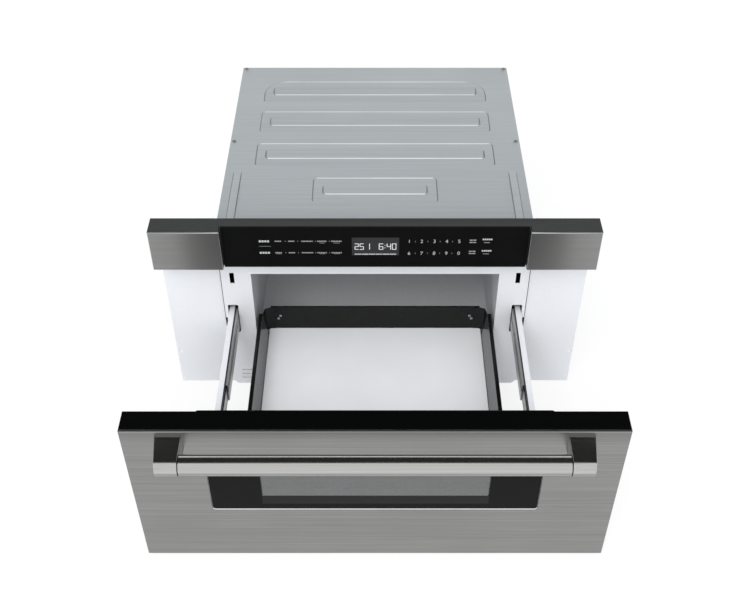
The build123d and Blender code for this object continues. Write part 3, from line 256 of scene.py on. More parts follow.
# The same enamel on the tray's side walls below their black rims, painted paler as a painted reflection of
# the white floor.
wall_enamel = finish("tray_wall_painted_reflection", "#484a4c", "#434547", (2.6, 2.6, 2.6), 0.0, (0.2, 0.28),
                     0.004, Specular_IOR_Level=0.35)
# Dark steel of the fixed slide members: painted shade standing for the shadow in the slots beside the arms.
dark_rail = finish("dark_rail_steel", "#2a2b2c", "#1c1d1e", (1.6, 180, 1.6), 0.6, (0.4, 0.5), 0.003)
# Glass-filled black plastic of the door frame, fan and interlock: matt with a fine spark texture.
# It also colours the black strips that paint shadow at the front plate's edges and below the slides.
black_plastic = finish("black_plastic_and_painted_shadow", "#050606", "#020303", (0.9, 0.9, 0.9), 0.0, (0.5, 0.62),
                       0.012, Specular_IOR_Level=0.04)
# Dark grey moulded cap and housing behind the control glass.
dark_cap = finish("moulded_dark_cap", "#313433", "#2d302f", (1.1, 1.1, 1.1), 0.0, (0.5, 0.6), 0.01)
# Float glass printed black on its back: deep, with faint finger haze.
black_glass = finish("back_printed_glass", "#101010", "#0e0e0e", (40, 40, 40), 0.0, (0.3, 0.36), 0.0,
                     Specular_IOR_Level=0.06, IOR=1.52)
# The same print seen through the door's window glass.
window_print = finish("window_black_print", "#0e0e0e", "#0c0c0c", (30, 30, 30), 0.0, (0.14, 0.2), 0.0,
                      Specular_IOR_Level=0.06, IOR=1.52)
# A darker band below the dots, laid as an opaque sheet on the glass's face.
dark_band = finish("window_dark_band", "#202020", "#1e1e1e", (30, 30, 30), 0.0, (0.14, 0.2), 0.0,
                    Specular_IOR_Level=0.06, IOR=1.52)
# Ground and polished rim of the window glass.
glass_rim = finish("ground_glass_rim", "#e2e3e3", "#d8d9d9", (20, 3, 3), 1.0, (0.18, 0.24), 0.0)
# Grey dots printed on the window, over the screen.
dot_print = finish("window_dot_print", "#5b5c5c", "#565757", (6, 6, 6), 0.0, (0.3, 0.4), 0.0)
# Clear middle of the window glass, slightly smoked.
window_clear = finish("smoked_window_glass", "#3a3c3d", "#353738", (60, 60, 60), 0.0, (0.04, 0.1), 0.0,
                      Specular_IOR_Level=0.1, IOR=1.52, Alpha=0.2)
# Opal glass-ceramic tray floor: white and level, with a wet-looking gloss.
opal_glass = finish("opal_glass_ceramic", "#f2f3f4", "#ecedef", (120, 120, 120), 0.0, (0.12, 0.2), 0.0,
                    IOR=1.52)
# Perforated and enamelled steel sheet of the window screen.
perforated_steel = finish("perforated_steel", "#8a8e90", "#7a7e80", (6, 6, 6), 0.6, (0.35, 0.45), 0.003)
# Green fibreglass circuit board with its solder mask.
circuit_board = finish("circuit_board", "#34533f", "#24402f", (5.0, 5.0, 2.0), 0.0, (0.3, 0.42), 0.02,
                       cloud=14)
# Cold-rolled zinc-plated slide members: bright, lines along the draw.
rail_steel = finish("zinc_plated_rail", "#d8dadc", "#c6c8ca", (1.6, 180, 1.6), 0.35, (0.28, 0.38), 0.003)
# The slides' ball races: a mid-grey band, and dark bands painted as the shadow in their grooves and gaps.
grey_race_band = finish("grey_ball_race", "#a8aaac", "#989a9c", (1.6, 180, 1.6), 0.4, (0.26, 0.34), 0.002)
painted_shadow_groove = finish("painted_shadow_groove", "#202122", "#161718", (1.6, 60, 1.6), 0.3, (0.3, 0.42), 0.002)
# Bright bearing steel of the balls and spring steel of the cages.
cage_steel = finish("bright_spring_steel", "#c0c2c4", "#a8aaac", (1.5, 30, 1.5), 0.9, (0.2, 0.3), 0.002)
# Unfilled acetal of the gears, plungers and stirrer cover: milky, low gloss.
pale_plastic = finish("milky_acetal", "#dedcd4", "#d2d0c8", (3.5, 3.5, 3.5), 0.0, (0.4, 0.5), 0.008,
                      Subsurface_Weight=0.08, Subsurface_Scale=0.002)
# Stacked silicon-steel laminations, varnished: thin dark and pale layers.
laminated_core = finish("varnished_laminations", "#74777a", "#46494c", (60, 60, 0.9), 0.7, (0.4, 0.55), 0.03,
                        detail=1.0)
# Zinc-plated cross-head screws, passivated.
screw_steel = finish("passivated_screw", "#b4b6b8", "#9a9c9e", (1.2, 1.2, 1.2), 0.85, (0.26, 0.36), 0.004)
# White ceramic ink of the control panel's printing.
white_print = finish("white_ceramic_ink", "#b9babb", "#adaeaf", (1.0, 1.0, 1.0), 0.0, (0.5, 0.6), 0.0)
# Greyer ink of the small marks.
grey_print = finish("grey_ceramic_ink", "#9a9b9c", "#888989", (1.0, 1.0, 1.0), 0.0, (0.5, 0.6), 0.0)
# Display filter behind the glass: smoky grey.
display_filter = finish("smoked_display_filter", "#343434", "#313131", (1.2, 1.2, 1.2), 0.0, (0.3, 0.4), 0.0,
                        Specular_IOR_Level=0.1)
# Lit segments of the display.
lit_segment = finish("lit_display_segment", "#d4d6d8", "#c8ccd0", (0.8, 0.8, 0.8), 0.0, (0.5, 0.6), 0.0,
                     Emission_Strength=0.12, Emission_Color=linear("#e8eef4"))

FINISHES = {
    "stainless": brushed_stainless, "galvanised": galvanised, "white_enamel": white_enamel,
    "grey_enamel": grey_enamel, "dark_enamel": dark_enamel, "black_plastic": black_plastic,
    "dark_cap": dark_cap, "control_glass": black_glass, "window_glass": window_clear,
    "tray_glass": opal_glass, "perforated_steel": perforated_steel, "circuit_board": circuit_board,
    "rail_steel": rail_steel, "cage_steel": cage_steel, "pale_plastic": pale_plastic,
    "steel_core": laminated_core, "screw_steel": screw_steel,
}
SLOT_OF = {row["node"]: row["material_slot"] for row in frame["record"]["subparts"]}


# ===== Making pieces =====


def linked(name, data):
    """An object put in the scene."""
    made = bpy.data.objects.new(name, data)
    scene.collection.objects.link(made)
    return made


def evaluated(host):
    """The mesh that an object comes to with its modifiers. The object goes."""
    graph = bpy.context.evaluated_depsgraph_get()
    mesh = bpy.data.meshes.new_from_object(host.evaluated_get(graph))
    bpy.data.objects.remove(host)
    return mesh


def body_of(node):
    return frame["nodes"][node]["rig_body"]


def place(name, mesh, material, body, stands_for=()):
    """Put a finished mesh in the scene as a piece that rides on a body."""
    piece = linked(name, mesh)
    mesh.materials.clear()
    mesh.materials.append(material)
    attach(piece, body)
    if stands_for:
        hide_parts(*stands_for)
    return piece


def mesh_of(name, points, faces):
    """A mesh from points in millimetres."""
    mesh = bpy.data.meshes.new(name)
    mesh.from_pydata([[value * MM for value in point] for point in points], [], faces)
    mesh.validate()
    return mesh


def smooth(mesh, angle=36.0):
    mesh.shade_smooth()
    mesh.set_sharp_from_angle(angle=math.radians(angle))
    return mesh


def outward(mesh):
    """Merge doubles and turn the faces of a closed mesh outwards."""
    work = bmesh.new()
    work.from_mesh(mesh)
    bmesh.ops.remove_doubles(work, verts=work.verts, dist=1e-6)
    bmesh.ops.recalc_face_normals(work, faces=work.faces)
    work.to_mesh(mesh)
    work.free()
    return mesh


def ringed(name, rings, closed=False):
    """A closed mesh through rings that have as many points each.

    With closed, the last ring meets the first. Otherwise the first and the last ring become faces.
    """
    count = len(rings[0])
    levels = len(rings)
    faces = []
    for level in range(levels if closed else levels - 1):
        after = (level + 1) % levels
        for i in range(count):
            j = (i + 1) % count
            faces.append((level * count + i, level * count + j, after * count + j, after * count + i))
    if not closed:
        faces += [tuple(range(count)), tuple(range((levels - 1) * count, levels * count))]
    return outward(mesh_of(name, [point for ring in rings for point in ring], faces))


def upright(outline, y):
    """A ring at one depth from an outline of (across, up)."""
    return [(x, y, z) for x, z in outline]


def box_mesh(name, low, high):
    """A closed box between two corners."""
    (left, front, bottom), (right, back, top) = low, high
    corners = ((left, bottom), (right, bottom), (right, top), (left, top))
    return ringed(name, [upright(corners, front), upright(corners, back)])


def joined(name, meshes):
    """One mesh from several."""
    work = bmesh.new()
    for mesh in meshes:
        work.from_mesh(mesh)
    whole = bpy.data.meshes.new(name)
    work.to_mesh(whole)
    work.free()
    return whole


def rounded_rectangle(left, right, low, high, low_r, high_r, steps):
    """Points round a rectangle, with one radius for its two low corners and one for its two high ones."""
    points = []
    for centre_x, centre, radius, start in (
            (right - high_r, high - high_r, high_r, 0), (left + high_r, high - high_r, high_r, 90),
            (left + low_r, low + low_r, low_r, 180), (right - low_r, low + low_r, low_r, 270)):
        for step in range(steps + 1):
            turn = math.radians(start + 90 * step / steps)
            points.append((centre_x + radius * math.cos(turn), centre + radius * math.sin(turn)))
    return points


def bevelled(mesh, width, segments=2, angle=30.0, level=True):
    """A copy of a mesh with its sharp edges rounded by a width in millimetres.

    With level, the flats between its edges are shaded level.
    """
    host = linked("bevel_host", mesh)
    edge = host.modifiers.new("edges", "BEVEL")
    edge.width = width * MM
    edge.segments = segments
    edge.limit_method = "ANGLE"
    edge.angle_limit = math.radians(angle)
    edge.use_clamp_overlap = True
    rounded = smooth(evaluated(host))
    if not level:
        return rounded
    host = linked("shading_host", rounded)
    shading = host.modifiers.new("level", "WEIGHTED_NORMAL")
    shading.keep_sharp = True
    shading.weight = 100
    return evaluated(host)


def merged_copy(node, name):
    """A copy of a CAD node's mesh, with its loose triangles merged into whole faces."""
    mesh = frame["nodes"][node].data.copy()
    mesh.name = name
    work = bmesh.new()
    work.from_mesh(mesh)
    bmesh.ops.remove_doubles(work, verts=work.verts, dist=2e-6)
    bmesh.ops.dissolve_limit(work, angle_limit=math.radians(1.0), verts=work.verts, edges=work.edges)
    work.to_mesh(mesh)
    work.free()
    return mesh


def eased(node, width, material=None, segments=2, angle=30.0):
    """Stand in for a CAD node with a copy whose edges are rounded by a width in millimetres."""
    name = node + "_eased"
    slot = SLOT_OF[node]
    return place(name, bevelled(merged_copy(node, name), width, segments, angle),
                 material or FINISHES[slot], body_of(node), [node])


def grown(name, build, lengths, numbers, material, body, stands_for=(), places=()):
    """Run the geometry tree that build fills, and keep a plain mesh.

    lengths and places are in millimetres, and numbers holds the counts, shares and angles.
    """
    sizes = {label: value * MM for label, value in lengths.items()} | numbers
    tree = bpy.data.node_groups.new(name, "GeometryNodeTree")
    tree.interface.new_socket("Geometry", in_out="OUTPUT", socket_type="NodeSocketGeometry")
    tree.interface.new_socket("Places", in_out="INPUT", socket_type="NodeSocketGeometry")
    keys = {}
    for label, value in sizes.items():
        kind = "NodeSocketInt" if isinstance(value, int) else "NodeSocketFloat"
        keys[label] = tree.interface.new_socket(label, in_out="INPUT", socket_type=kind).identifier
    given = add(tree, "NodeGroupInput").outputs
    whole = add(tree, "GeometryNodeRealizeInstances", {"Geometry": build(tree, given)})
    coloured = add(tree, "GeometryNodeSetMaterial", {"Geometry": whole.outputs[0], "Material": material})
    add(tree, "NodeGroupOutput", {"Geometry": coloured.outputs[0]})
    host = linked(name + "_host", mesh_of(name + "_places", places, []))
    growth = host.modifiers.new(name, "NODES")
    growth.node_group = tree
    for label, value in sizes.items():
        growth[keys[label]] = value
    return place(name, smooth(evaluated(host)), material, body, stands_for)


# ===== Casing =====


def pressing_outline(half_w, front, rear, front_r, rear_r, side_steps=10, corner_steps=8):
    """A rounded rectangle centred on mid-width, with more points along its straight sides."""
    points = rounded_rectangle(-half_w, half_w, front, rear, front_r, rear_r, corner_steps)
    filled = []
    for index, (x, y) in enumerate(points):
        filled.append((x, y))
        if (index + 1) % (corner_steps + 1) == 0:
            next_x, next_y = points[(index + 1) % len(points)]
            for step in range(1, side_steps):
                share = step / side_steps
                filled.append((x + (next_x - x) * share, y + (next_y - y) * share))
    return filled


def gentle(share):
    """A share of a slope's height that starts and ends level."""
    return 3 * share ** 2 - 2 * share ** 3


def bead_height(y, low, high):
    """The height of a pressing that rises evenly from low to high, measured back from the front."""
    return BEAD_H * min(1.0, max(0.0, (y - low) / (high - low)))


def slope_rings(half_w, front, rear, front_r, rear_r, outside, height):
    """Rings down a pressing's slope, of which a share lies outside the outline. height gives their Z."""
    rings = []
    for share in SLOPE_SHARES:
        aside = BEAD_SLOPE * (share - outside)
        along = REAR_SLOPE * (share - outside)
        ring = pressing_outline(half_w - aside, front + along, rear - along,
                                max(front_r - along, 1.0), max(rear_r - along, 1.0))
        rings.append([(x, y, height(share, y)) for x, y in ring])
    return rings


def pressed_loop(loop):
    """A pressing that rises from its front, drops at its rear edge, and drops again into its hole."""
    half_w, front, rear, rear_r, hole_half_w, hole_front, hole_rear = loop

    def rim(share, y):
        foot = CASE_H - 0.12 * (share == 0.0)
        return foot + gentle(share) * bead_height(y, front, hole_front)

    def hole(share, y):
        fall = gentle(share)
        return (CASE_H + 0.02 + bead_height(y, front, hole_front) * (1 - fall)
                + bead_height(y, hole_front, hole_rear) * fall)

    return ringed("pressed_loop", slope_rings(half_w, front, rear, 9.0, rear_r, 0.1, rim)
                  + slope_rings(hole_half_w, hole_front, hole_rear, 5.0, 5.0, 0.5, hole))


def side_bead(side, inner=243.3, outer=258.1, rear=173.0, fade=60.0, fade_steps=6):
    """A straight bead along the cover's edge that fades out at its rear end."""
    section = [(inner - 0.6 + 0.7 * BEAD_SLOPE * share, gentle(share)) for share in SLOPE_SHARES]
    section += [(outer + inner - x, rise) for x, rise in reversed(section)]
    stations = [(PLATE_BACK_Y + 1.0, 1.0)]
    stations += [(rear - fade + fade * step / fade_steps, math.cos(math.pi / 2 * step / fade_steps))
                 for step in range(fade_steps + 1)]
    points = []
    for y, swell in stations:
        points += [(side * x, y, CASE_H - 0.05 + (BEAD_H - 0.1) * rise * swell) for x, rise in section]
    width = len(section)
    faces = []
    for station in range(len(stations) - 1):
        for index in range(width - 1):
            first = station * width + index
            faces.append((first, first + 1, first + 1 + width, first + width))
    faces.append(tuple(range(width)))
    return outward(mesh_of("side_bead", points, faces))


cover_sheet = bevelled(box_mesh("cover_sheet", (-CASE_W / 2, PLATE_BACK_Y, CASE_H - SHEET_T),
                                (CASE_W / 2, CASE_D, CASE_H)), 0.35, level=False)
cover = joined("top_cover_pressed", [cover_sheet] + [pressed_loop(loop) for loop in TOP_LOOPS]
               + [side_bead(side) for side in SIDES])
place("top_cover_pressed", smooth(cover), pressed_sheet, "casing", ["top_cover"])

for node_name in ("left_side_panel", "right_side_panel", "base_plate", "rear_panel"):
    eased(node_name, 0.35)
eased("front_plate", 0.4)

# The flanges' sheet is cropped behind the control panel, its return lower than its face.
FLANGE_EDGE_Z = 380.0  # only the upper edges lie above this
FLANGE_FACE_DROP = 12.0
FLANGE_RETURN_TOP_Z = 362.0
FLANGE_FACE_BACK_Y = 0.5  # the return lies behind this
for node_name in ("left_side_flange", "right_side_flange"):
    for vertex in eased(node_name, 0.4).data.vertices:
        if vertex.co.z > FLANGE_EDGE_Z * MM:
            in_return = vertex.co.y > FLANGE_FACE_BACK_Y * MM
            vertex.co.z = FLANGE_RETURN_TOP_Z * MM if in_return else vertex.co.z - FLANGE_FACE_DROP * MM

eased("cavity_liner", 0.3)
eased("cavity_ceiling", 0.3)
eased("cord_bush", 0.6)

# Black strips, painted as the shadow along the front plate's edges before the side flanges and as the shade
# in the relief below each slide: inner and outer edge, front, back, bottom, top.
SHADOW_STRIP_BOXES = ((274.0, 274.5, -3.1, -1.0, 146.0, 315.0), (270.9, 274.4, -3.35, -3.15, 148.0, 168.0))
shadow_strips = [box_mesh("joint", (side * outer, front, bottom), (side * inner, back, top))
          for side in SIDES for inner, outer, front, back, bottom, top in SHADOW_STRIP_BOXES]
place("flange_shadow_strips", joined("flange_shadow_strips", shadow_strips), black_plastic, "casing")


def louvre_lips(tree, given):
    """Pressed lips over the front plate's slots, one above the other."""
    row = add(tree, "GeometryNodeMeshLine", {
        "Count": given["Slots"],
        "Start Location": vector(tree, X=given["Middle X"], Y=given["Face Y"], Z=given["Lowest Z"]),
        "Offset": vector(tree, Z=given["Pitch"])})
    axis = add(tree, "GeometryNodeCurvePrimitiveLine", {
        "Start": vector(tree, X=maths(tree, "DIVIDE", given["Length"], -2.0)),
        "End": vector(tree, X=maths(tree, "DIVIDE", given["Length"], 2.0))})
    lip = add(tree, "GeometryNodeCurvePrimitiveCircle", {"Resolution": 8, "Radius": given["Lip"]})
    tube = add(tree, "GeometryNodeCurveToMesh", {
        "Curve": axis.outputs[0], "Profile Curve": lip.outputs["Curve"], "Fill Caps": True})
    return add(tree, "GeometryNodeInstanceOnPoints", {
        "Points": row.outputs[0], "Instance": tube.outputs[0]}).outputs[0]


grown("front_louvre_lips", louvre_lips,
      {"Middle X": -226.0, "Face Y": PLATE_FRONT_Y + 0.1, "Lowest Z": LOUVRE_LOW_Z, "Pitch": LOUVRE_PITCH,
       "Length": 58.0, "Lip": 0.7},
      {"Slots": LOUVRE_COUNT}, white_enamel, "casing")


def cross_head_screws(tree, given):
    """Pan-head screws with a cross recess, one at each place, all turned the same way."""
    rim = add(tree, "GeometryNodeCurvePrimitiveCircle", {"Resolution": 14, "Radius": given["Head radius"]})
    cross = add(tree, "GeometryNodeCurveStar", {
        "Points": 4, "Inner Radius": maths(tree, "MULTIPLY", given["Head radius"], 0.14),
        "Outer Radius": maths(tree, "MULTIPLY", given["Head radius"], 0.58)})
    outline = together(tree, rim.outputs["Curve"], cross.outputs["Curve"])
    top = add(tree, "GeometryNodeFillCurve", {"Curve": outline})
    raised = add(tree, "GeometryNodeExtrudeMesh", {
        "Mesh": top.outputs[0], "Offset Scale": given["Head height"], "Individual": False}, mode="FACES")
    floor = add(tree, "GeometryNodeFillCurve", {"Curve": rim.outputs["Curve"]})
    sunk = add(tree, "GeometryNodeTransform", {
        "Geometry": floor.outputs[0], "Translation": vector(tree, Z=given["Recess floor"])})
    under = add(tree, "GeometryNodeFlipFaces", {"Mesh": floor.outputs[0]})
    head = together(tree, raised.outputs["Mesh"], sunk.outputs[0], under.outputs[0])
    return add(tree, "GeometryNodeInstanceOnPoints", {
        "Points": given["Places"], "Instance": head, "Rotation": vector(tree, X=given["Tilt"])}).outputs[0]


def screws(name, places, radius, height, tilt, body, stands_for=()):
    """Screws of one size, whose heads are tilted by an angle in degrees from upright."""
    return grown(name, cross_head_screws,
                 {"Head radius": radius, "Head height": height, "Recess floor": 0.3 * height},
                 {"Tilt": math.radians(tilt)}, screw_steel, body, stands_for, places)


screws("case_top_screws", [(side * CASE_SCREW_X, y, CASE_H) for side in SIDES for y in CASE_SCREW_YS],
       3.6, 1.6, 0, "casing", ["case_screws"])
screws("case_rear_screws", [(side * CASE_SCREW_X, CASE_D, z) for side in SIDES for z in CASE_SCREW_ZS],
       3.6, 1.6, -90, "casing", ["case_screws"])
screws("tray_wall_screws", [(side * x, TRAY_SCREW_Y, z) for side in SIDES for x, z in TRAY_SCREWS],
       2.6, 1.2, 90, "drawer", ["drawer_screws"])

# ===== Control panel =====

# The cap's rear edge is moved back between the wings, so that it runs straight from wing to wing.
CAP_HALF_W = 274.0
CAP_EDGE_Y = -3.9  # only the rear edge lies behind this
CAP_SHIFT = 1.95
for vertex in eased("panel_housing", 0.5).data.vertices:
    if (abs(vertex.co.x) < CAP_HALF_W * MM and vertex.co.y > CAP_EDGE_Y * MM
            and vertex.co.z > (PANEL_TOP_Z - 4) * MM):
        vertex.co.y += CAP_SHIFT * MM


def folded_wing(node, upper_fold=2.4, inner_fold=0.8):
    """A panel wing whose upper and inner front edges are folded round radii in millimetres."""
    mesh = merged_copy(node, node + "_folded")
    work = bmesh.new()
    work.from_mesh(mesh)
    front = min(vertex.co.y for vertex in work.verts) + 0.2 * MM
    inner = min(abs(vertex.co.x) for vertex in work.verts if vertex.co.y < front) + 0.3 * MM

    def fold(radius, segments, test):
        edges = [edge for edge in work.edges
                 if all(vertex.co.y < front and test(vertex.co) for vertex in edge.verts)]
        bmesh.ops.bevel(work, geom=edges, offset=radius * MM, segments=segments, profile=0.5, affect="EDGES")

    fold(upper_fold, 5, lambda co: co.z > (PANEL_TOP_Z - 0.3) * MM)
    fold(inner_fold, 4, lambda co: abs(co.x) < inner)
    work.to_mesh(mesh)
    work.free()
    return place(node + "_folded", bevelled(mesh, 0.25, angle=40), brushed_wing, body_of(node),
                 [node])


for node_name in ("left_panel_wing", "right_panel_wing"):
    folded_wing(node_name)
eased("control_glass", 0.5, black_glass)


def on_glass(x, drop, proud):
    """A point on the control glass, given its place across and its height from the panel's top."""
    z = PANEL_TOP_Z + drop
    share = (z - PANEL_BOTTOM_Z) / (PANEL_TOP_Z - PANEL_BOTTOM_Z)
    return x, GLASS_BOTTOM_Y + (GLASS_TOP_Y - GLASS_BOTTOM_Y) * share - proud, z


PRINT_PROUD = 0.05


def printed(name, outlines, material, proud=PRINT_PROUD, deep=0.04):
    """Thin closed shapes printed on the control glass, from outlines of (across, drop)."""
    shapes = [ringed("mark", [[on_glass(x, drop, proud) for x, drop in outline],
                              [on_glass(x, drop, proud - deep) for x, drop in outline]])
              for outline in outlines]
    return place(name, joined(name, shapes), material, "casing")


def bar_mark(left, right, drop, height):
    """A plain printed bar."""
    return [(left, drop + height / 2), (right, drop + height / 2), (right, drop - height / 2),
            (left, drop - height / 2)]


def bars(left, length, pitch, count, drop, height):
    """A row of plain bars from a left end."""
    return [bar_mark(left + pitch * bar, left + pitch * bar + length, drop, height) for bar in range(count)]


SEGMENTS = {"0": "abcdef", "1": "bc", "2": "abged", "3": "abgcd", "4": "fgbc", "5": "afgcd", "6": "afgedc",
            "7": "abc", "8": "abcdefg", "9": "abcdfg"}


def seven_segments(digit, left, width, top, bottom, stroke=1.25, gap=0.25):
    """Outlines of one display digit."""
    middle = (top + bottom) / 2
    right = left + width
    level_bars = {"a": top - stroke / 2, "g": middle, "d": bottom + stroke / 2}
    upright_bars = {"f": (left + stroke / 2, middle, top), "b": (right - stroke / 2, middle, top),
                    "e": (left + stroke / 2, bottom, middle), "c": (right - stroke / 2, bottom, middle)}
    shapes = []
    for part in SEGMENTS[digit]:
        if part in level_bars:
            shapes.append(bar_mark(left + gap, right - gap, level_bars[part], stroke))
        else:
            across, low, high = upright_bars[part]
            shapes.append(bar_mark(across - stroke / 2, across + stroke / 2, (low + high) / 2,
                                   high - low - 2 * gap))
    return shapes


# The display: two figures, then an hour and its minutes, over a row of six bars.
DIGIT_TOP = -32.8
DIGIT_BOTTOM = -45.6
printed("display_window", [bar_mark(-39.2, 40.9, -39.2, 36.9)], display_filter)
lit = bars(-34.6, 11.2, 11.9, 6, -54.9, 1.3) + [bar_mark(16.2, 17.6, drop, 1.4) for drop in (-36.8, -41.9)]
for digit, left, width in (("2", -34.6, 7.0), ("5", -26.0, 7.0), ("1", -15.6, 7.0), ("6", 6.4, 7.6),
                           ("4", 19.8, 7.4), ("0", 28.8, 7.4)):
    lit += seven_segments(digit, left, width, DIGIT_TOP, DIGIT_BOTTOM)
printed("display_digits", lit, lit_segment, proud=0.12)

# The keys left of the display: two rows of five marks, each a run of short bars, with ticks between them.
KEY_ROWS = (-28.2, -52.0)
KEY_MARKS = ((-163.8, 11.6), (-141.2, 11.0), (-114.6, 20.0), (-89.6, 16.4), (-64.9, 18.0))  # middle, width
KEY_TICKS = (-151.6, -130.3, -100.9, -77.3)
KEY_BAR_PITCH = 2.6  # nearly
small_bars = []
ticks = []
for drop in KEY_ROWS:
    ticks += [bar_mark(middle - 0.3, middle + 0.3, drop, 2.6) for middle in KEY_TICKS]
    for middle, width in KEY_MARKS:
        count = round(width / KEY_BAR_PITCH)
        pitch = width / count
        small_bars += bars(middle - width / 2, pitch - 0.6, pitch, count, drop, 2.3)
# Second lines under some of them, and the line between the two strong keys.
for middle, width in ((-89.6, 9.0), (-64.9, 11.0)):
    ticks += [bar_mark(middle - width / 2, middle + width / 2, drop, 0.7) for drop in (-31.8, -54.2)]
ticks.append(bar_mark(-168.0, -159.4, -54.2, 0.7))
ticks.append(bar_mark(-196.8, -176.4, -38.6, 0.5))
# Ticks between the numbers, and the small marks right of them.
for drop in (-28.7, -53.2):
    ticks += bars(68.0, 0.7, 20.9, 4, drop, 2.6)
for drop in (-25.9, -30.6, -49.0, -53.5):
    small_bars += bars(159.7, 5.2, 6.0, 2, drop, 2.0)
# The strong keys at either end, and the lines under the right ones.
strong_bars = []
for drop in (-28.4, -52.2):
    strong_bars += bars(-196.2, 3.5, 4.6, 4, drop, 3.9)
for drop in (-24.4, -48.1):
    strong_bars += bars(181.6, 2.8, 3.4, 5, drop, 3.0)
ticks += [bar_mark(184.0, 194.0, drop, 1.1) for drop in (-31.0, -54.4)]
printed("panel_ticks", ticks, grey_print)
printed("panel_small_bars", small_bars, grey_print)
printed("panel_strong_bars", strong_bars, white_print)

NUMBER_H = 7.0
NUMBER_ROWS = (-28.7, -53.6)
NUMBER_COLUMNS = (58.0, 79.1, 100.5, 121.3, 142.4)
FIGURE_SHARE = 0.72  # height of a figure as a share of its font's size


def printed_number(digit, middle, drop):
    """One plain number on the control glass."""
    curve = bpy.data.curves.new("number_" + digit, "FONT")
    curve.body = digit
    curve.align_x = "CENTER"
    curve.align_y = "CENTER"
    curve.size = NUMBER_H * MM / FIGURE_SHARE
    curve.extrude = 0.02 * MM
    mesh = evaluated(linked("number_" + digit, curve))
    slant = math.atan2(GLASS_TOP_Y - GLASS_BOTTOM_Y, PANEL_TOP_Z - PANEL_BOTTOM_Z)
    move = Matrix.Translation([value * MM for value in on_glass(middle, drop, PRINT_PROUD)])
    mesh.transform(move @ Matrix.Rotation(math.pi / 2 - slant, 4, "X"))
    return mesh


numbers = []
for column, middle in enumerate(NUMBER_COLUMNS):
    for number, drop in zip((column + 1, (column + 6) % 10), NUMBER_ROWS):
        numbers.append(printed_number(str(number), middle, drop))
place("panel_numbers", joined("panel_numbers", numbers), white_print, "casing")

# ===== Drawer front =====

eased("door_skin", 0.3, door_sheet, angle=40)
eased("door_frame", 0.5)
# The inner plate's folded upper edge reaches the door's top.
INNER_PLATE_EDGE_Z = 296.0  # only the upper edge lies above this
INNER_PLATE_RISE = 8.0
for vertex in eased("door_inner_plate", 0.6).data.vertices:
    if vertex.co.z > INNER_PLATE_EDGE_Z * MM:
        vertex.co.z += INNER_PLATE_RISE * MM


def lathe(name, stations, steps=64):
    """A shape turned about the handle's axis, from (x, radius) stations."""
    turns = [2 * math.pi * step / steps for step in range(steps)]
    return ringed(name, [[(x, HANDLE_Y + radius * math.cos(turn), HANDLE_Z + radius * math.sin(turn))
                          for turn in turns] for x, radius in stations])


def bar_end(side):
    """Stations of the bar's end: a groove beside the post, then a rounded shoulder."""
    return [(side * (POST_IN_X - inward), BAR_R - less)
            for inward, less in ((0.0, 1.0), (1.0, 1.0), (1.05, 0.5), (1.2, 0.15), (1.6, 0.0))]


def handle_post(side, steps=32):
    """A post that is flat above and below and half-round in front, and widens towards the door."""
    front_y = HANDLE_Y - POST_R
    rear_y = DOOR_FRONT_Y + 1.5
    outline = [(rear_y, HANDLE_Z - POST_R), (rear_y, HANDLE_Z + POST_R)]
    for step in range(steps + 1):
        turn = math.radians(90 + 180 * step / steps)
        outline.append((HANDLE_Y + POST_R * math.cos(turn), HANDLE_Z + POST_R * math.sin(turn)))

    def outer_x(y):
        return POST_OUT_X + (POST_FOOT_X - POST_OUT_X) * (y - front_y) / (DOOR_FRONT_Y - front_y)

    post = ringed("post", [[(side * POST_IN_X, y, z) for y, z in outline],
                           [(side * outer_x(y), y, z) for y, z in outline]])
    return bevelled(post, 1.4, 4, 50, level=False)


tube = lathe("handle_tube", bar_end(-1) + bar_end(1)[::-1])
place("handle_tube", smooth(tube, 50), satin_tube, "drawer", ["handle_bar"])
posts = joined("handle_posts_rounded", [handle_post(side) for side in SIDES])
place("handle_posts_rounded", smooth(posts, 50), ground_post, "drawer", ["handle_posts"])
# Black rings fill the grooves beside the posts and keep them dark.
rings = [lathe("groove_ring", [(side * (POST_IN_X - inward), BAR_R - 0.55) for inward in (1.35, 0.05)])
         for side in SIDES]
place("handle_groove_rings", smooth(joined("handle_groove_rings", rings)), black_plastic, "drawer")


def window_plate(name, rings, material, closed):
    """A plate of the window, from rings of (outline, depth behind the door's face)."""
    mesh = ringed(name, [upright(outline, DOOR_FRONT_Y + depth) for outline, depth in rings], closed)
    return place(name, mesh, material, "drawer", ["window_glass"])


CORNER_STEPS = 6
window_left, window_right, window_bottom, window_top = WINDOW
whole_outline = rounded_rectangle(*WINDOW, WINDOW_R, WINDOW_R, CORNER_STEPS)
face_outline = rounded_rectangle(window_left + 0.8, window_right - 0.8, window_bottom + WINDOW_RIM,
                                 window_top - 0.8, WINDOW_R, WINDOW_R, CORNER_STEPS)
clear_outline = rounded_rectangle(*CLEAR_ZONE, 3.0, 3.0, CORNER_STEPS)
window_plate("window_border", [(face_outline, 0.0), (clear_outline, 0.0), (clear_outline, 0.6),
                               (face_outline, 0.6)], window_print, closed=True)
window_plate("window_pane", [(clear_outline, 0.02), (clear_outline, WINDOW_T - 0.02)], window_clear,
             closed=False)
window_plate("window_ground_rim", [(face_outline, 0.05), (whole_outline, 0.65), (whole_outline, WINDOW_T),
                                   (clear_outline, WINDOW_T), (clear_outline, 0.65)], glass_rim, closed=True)


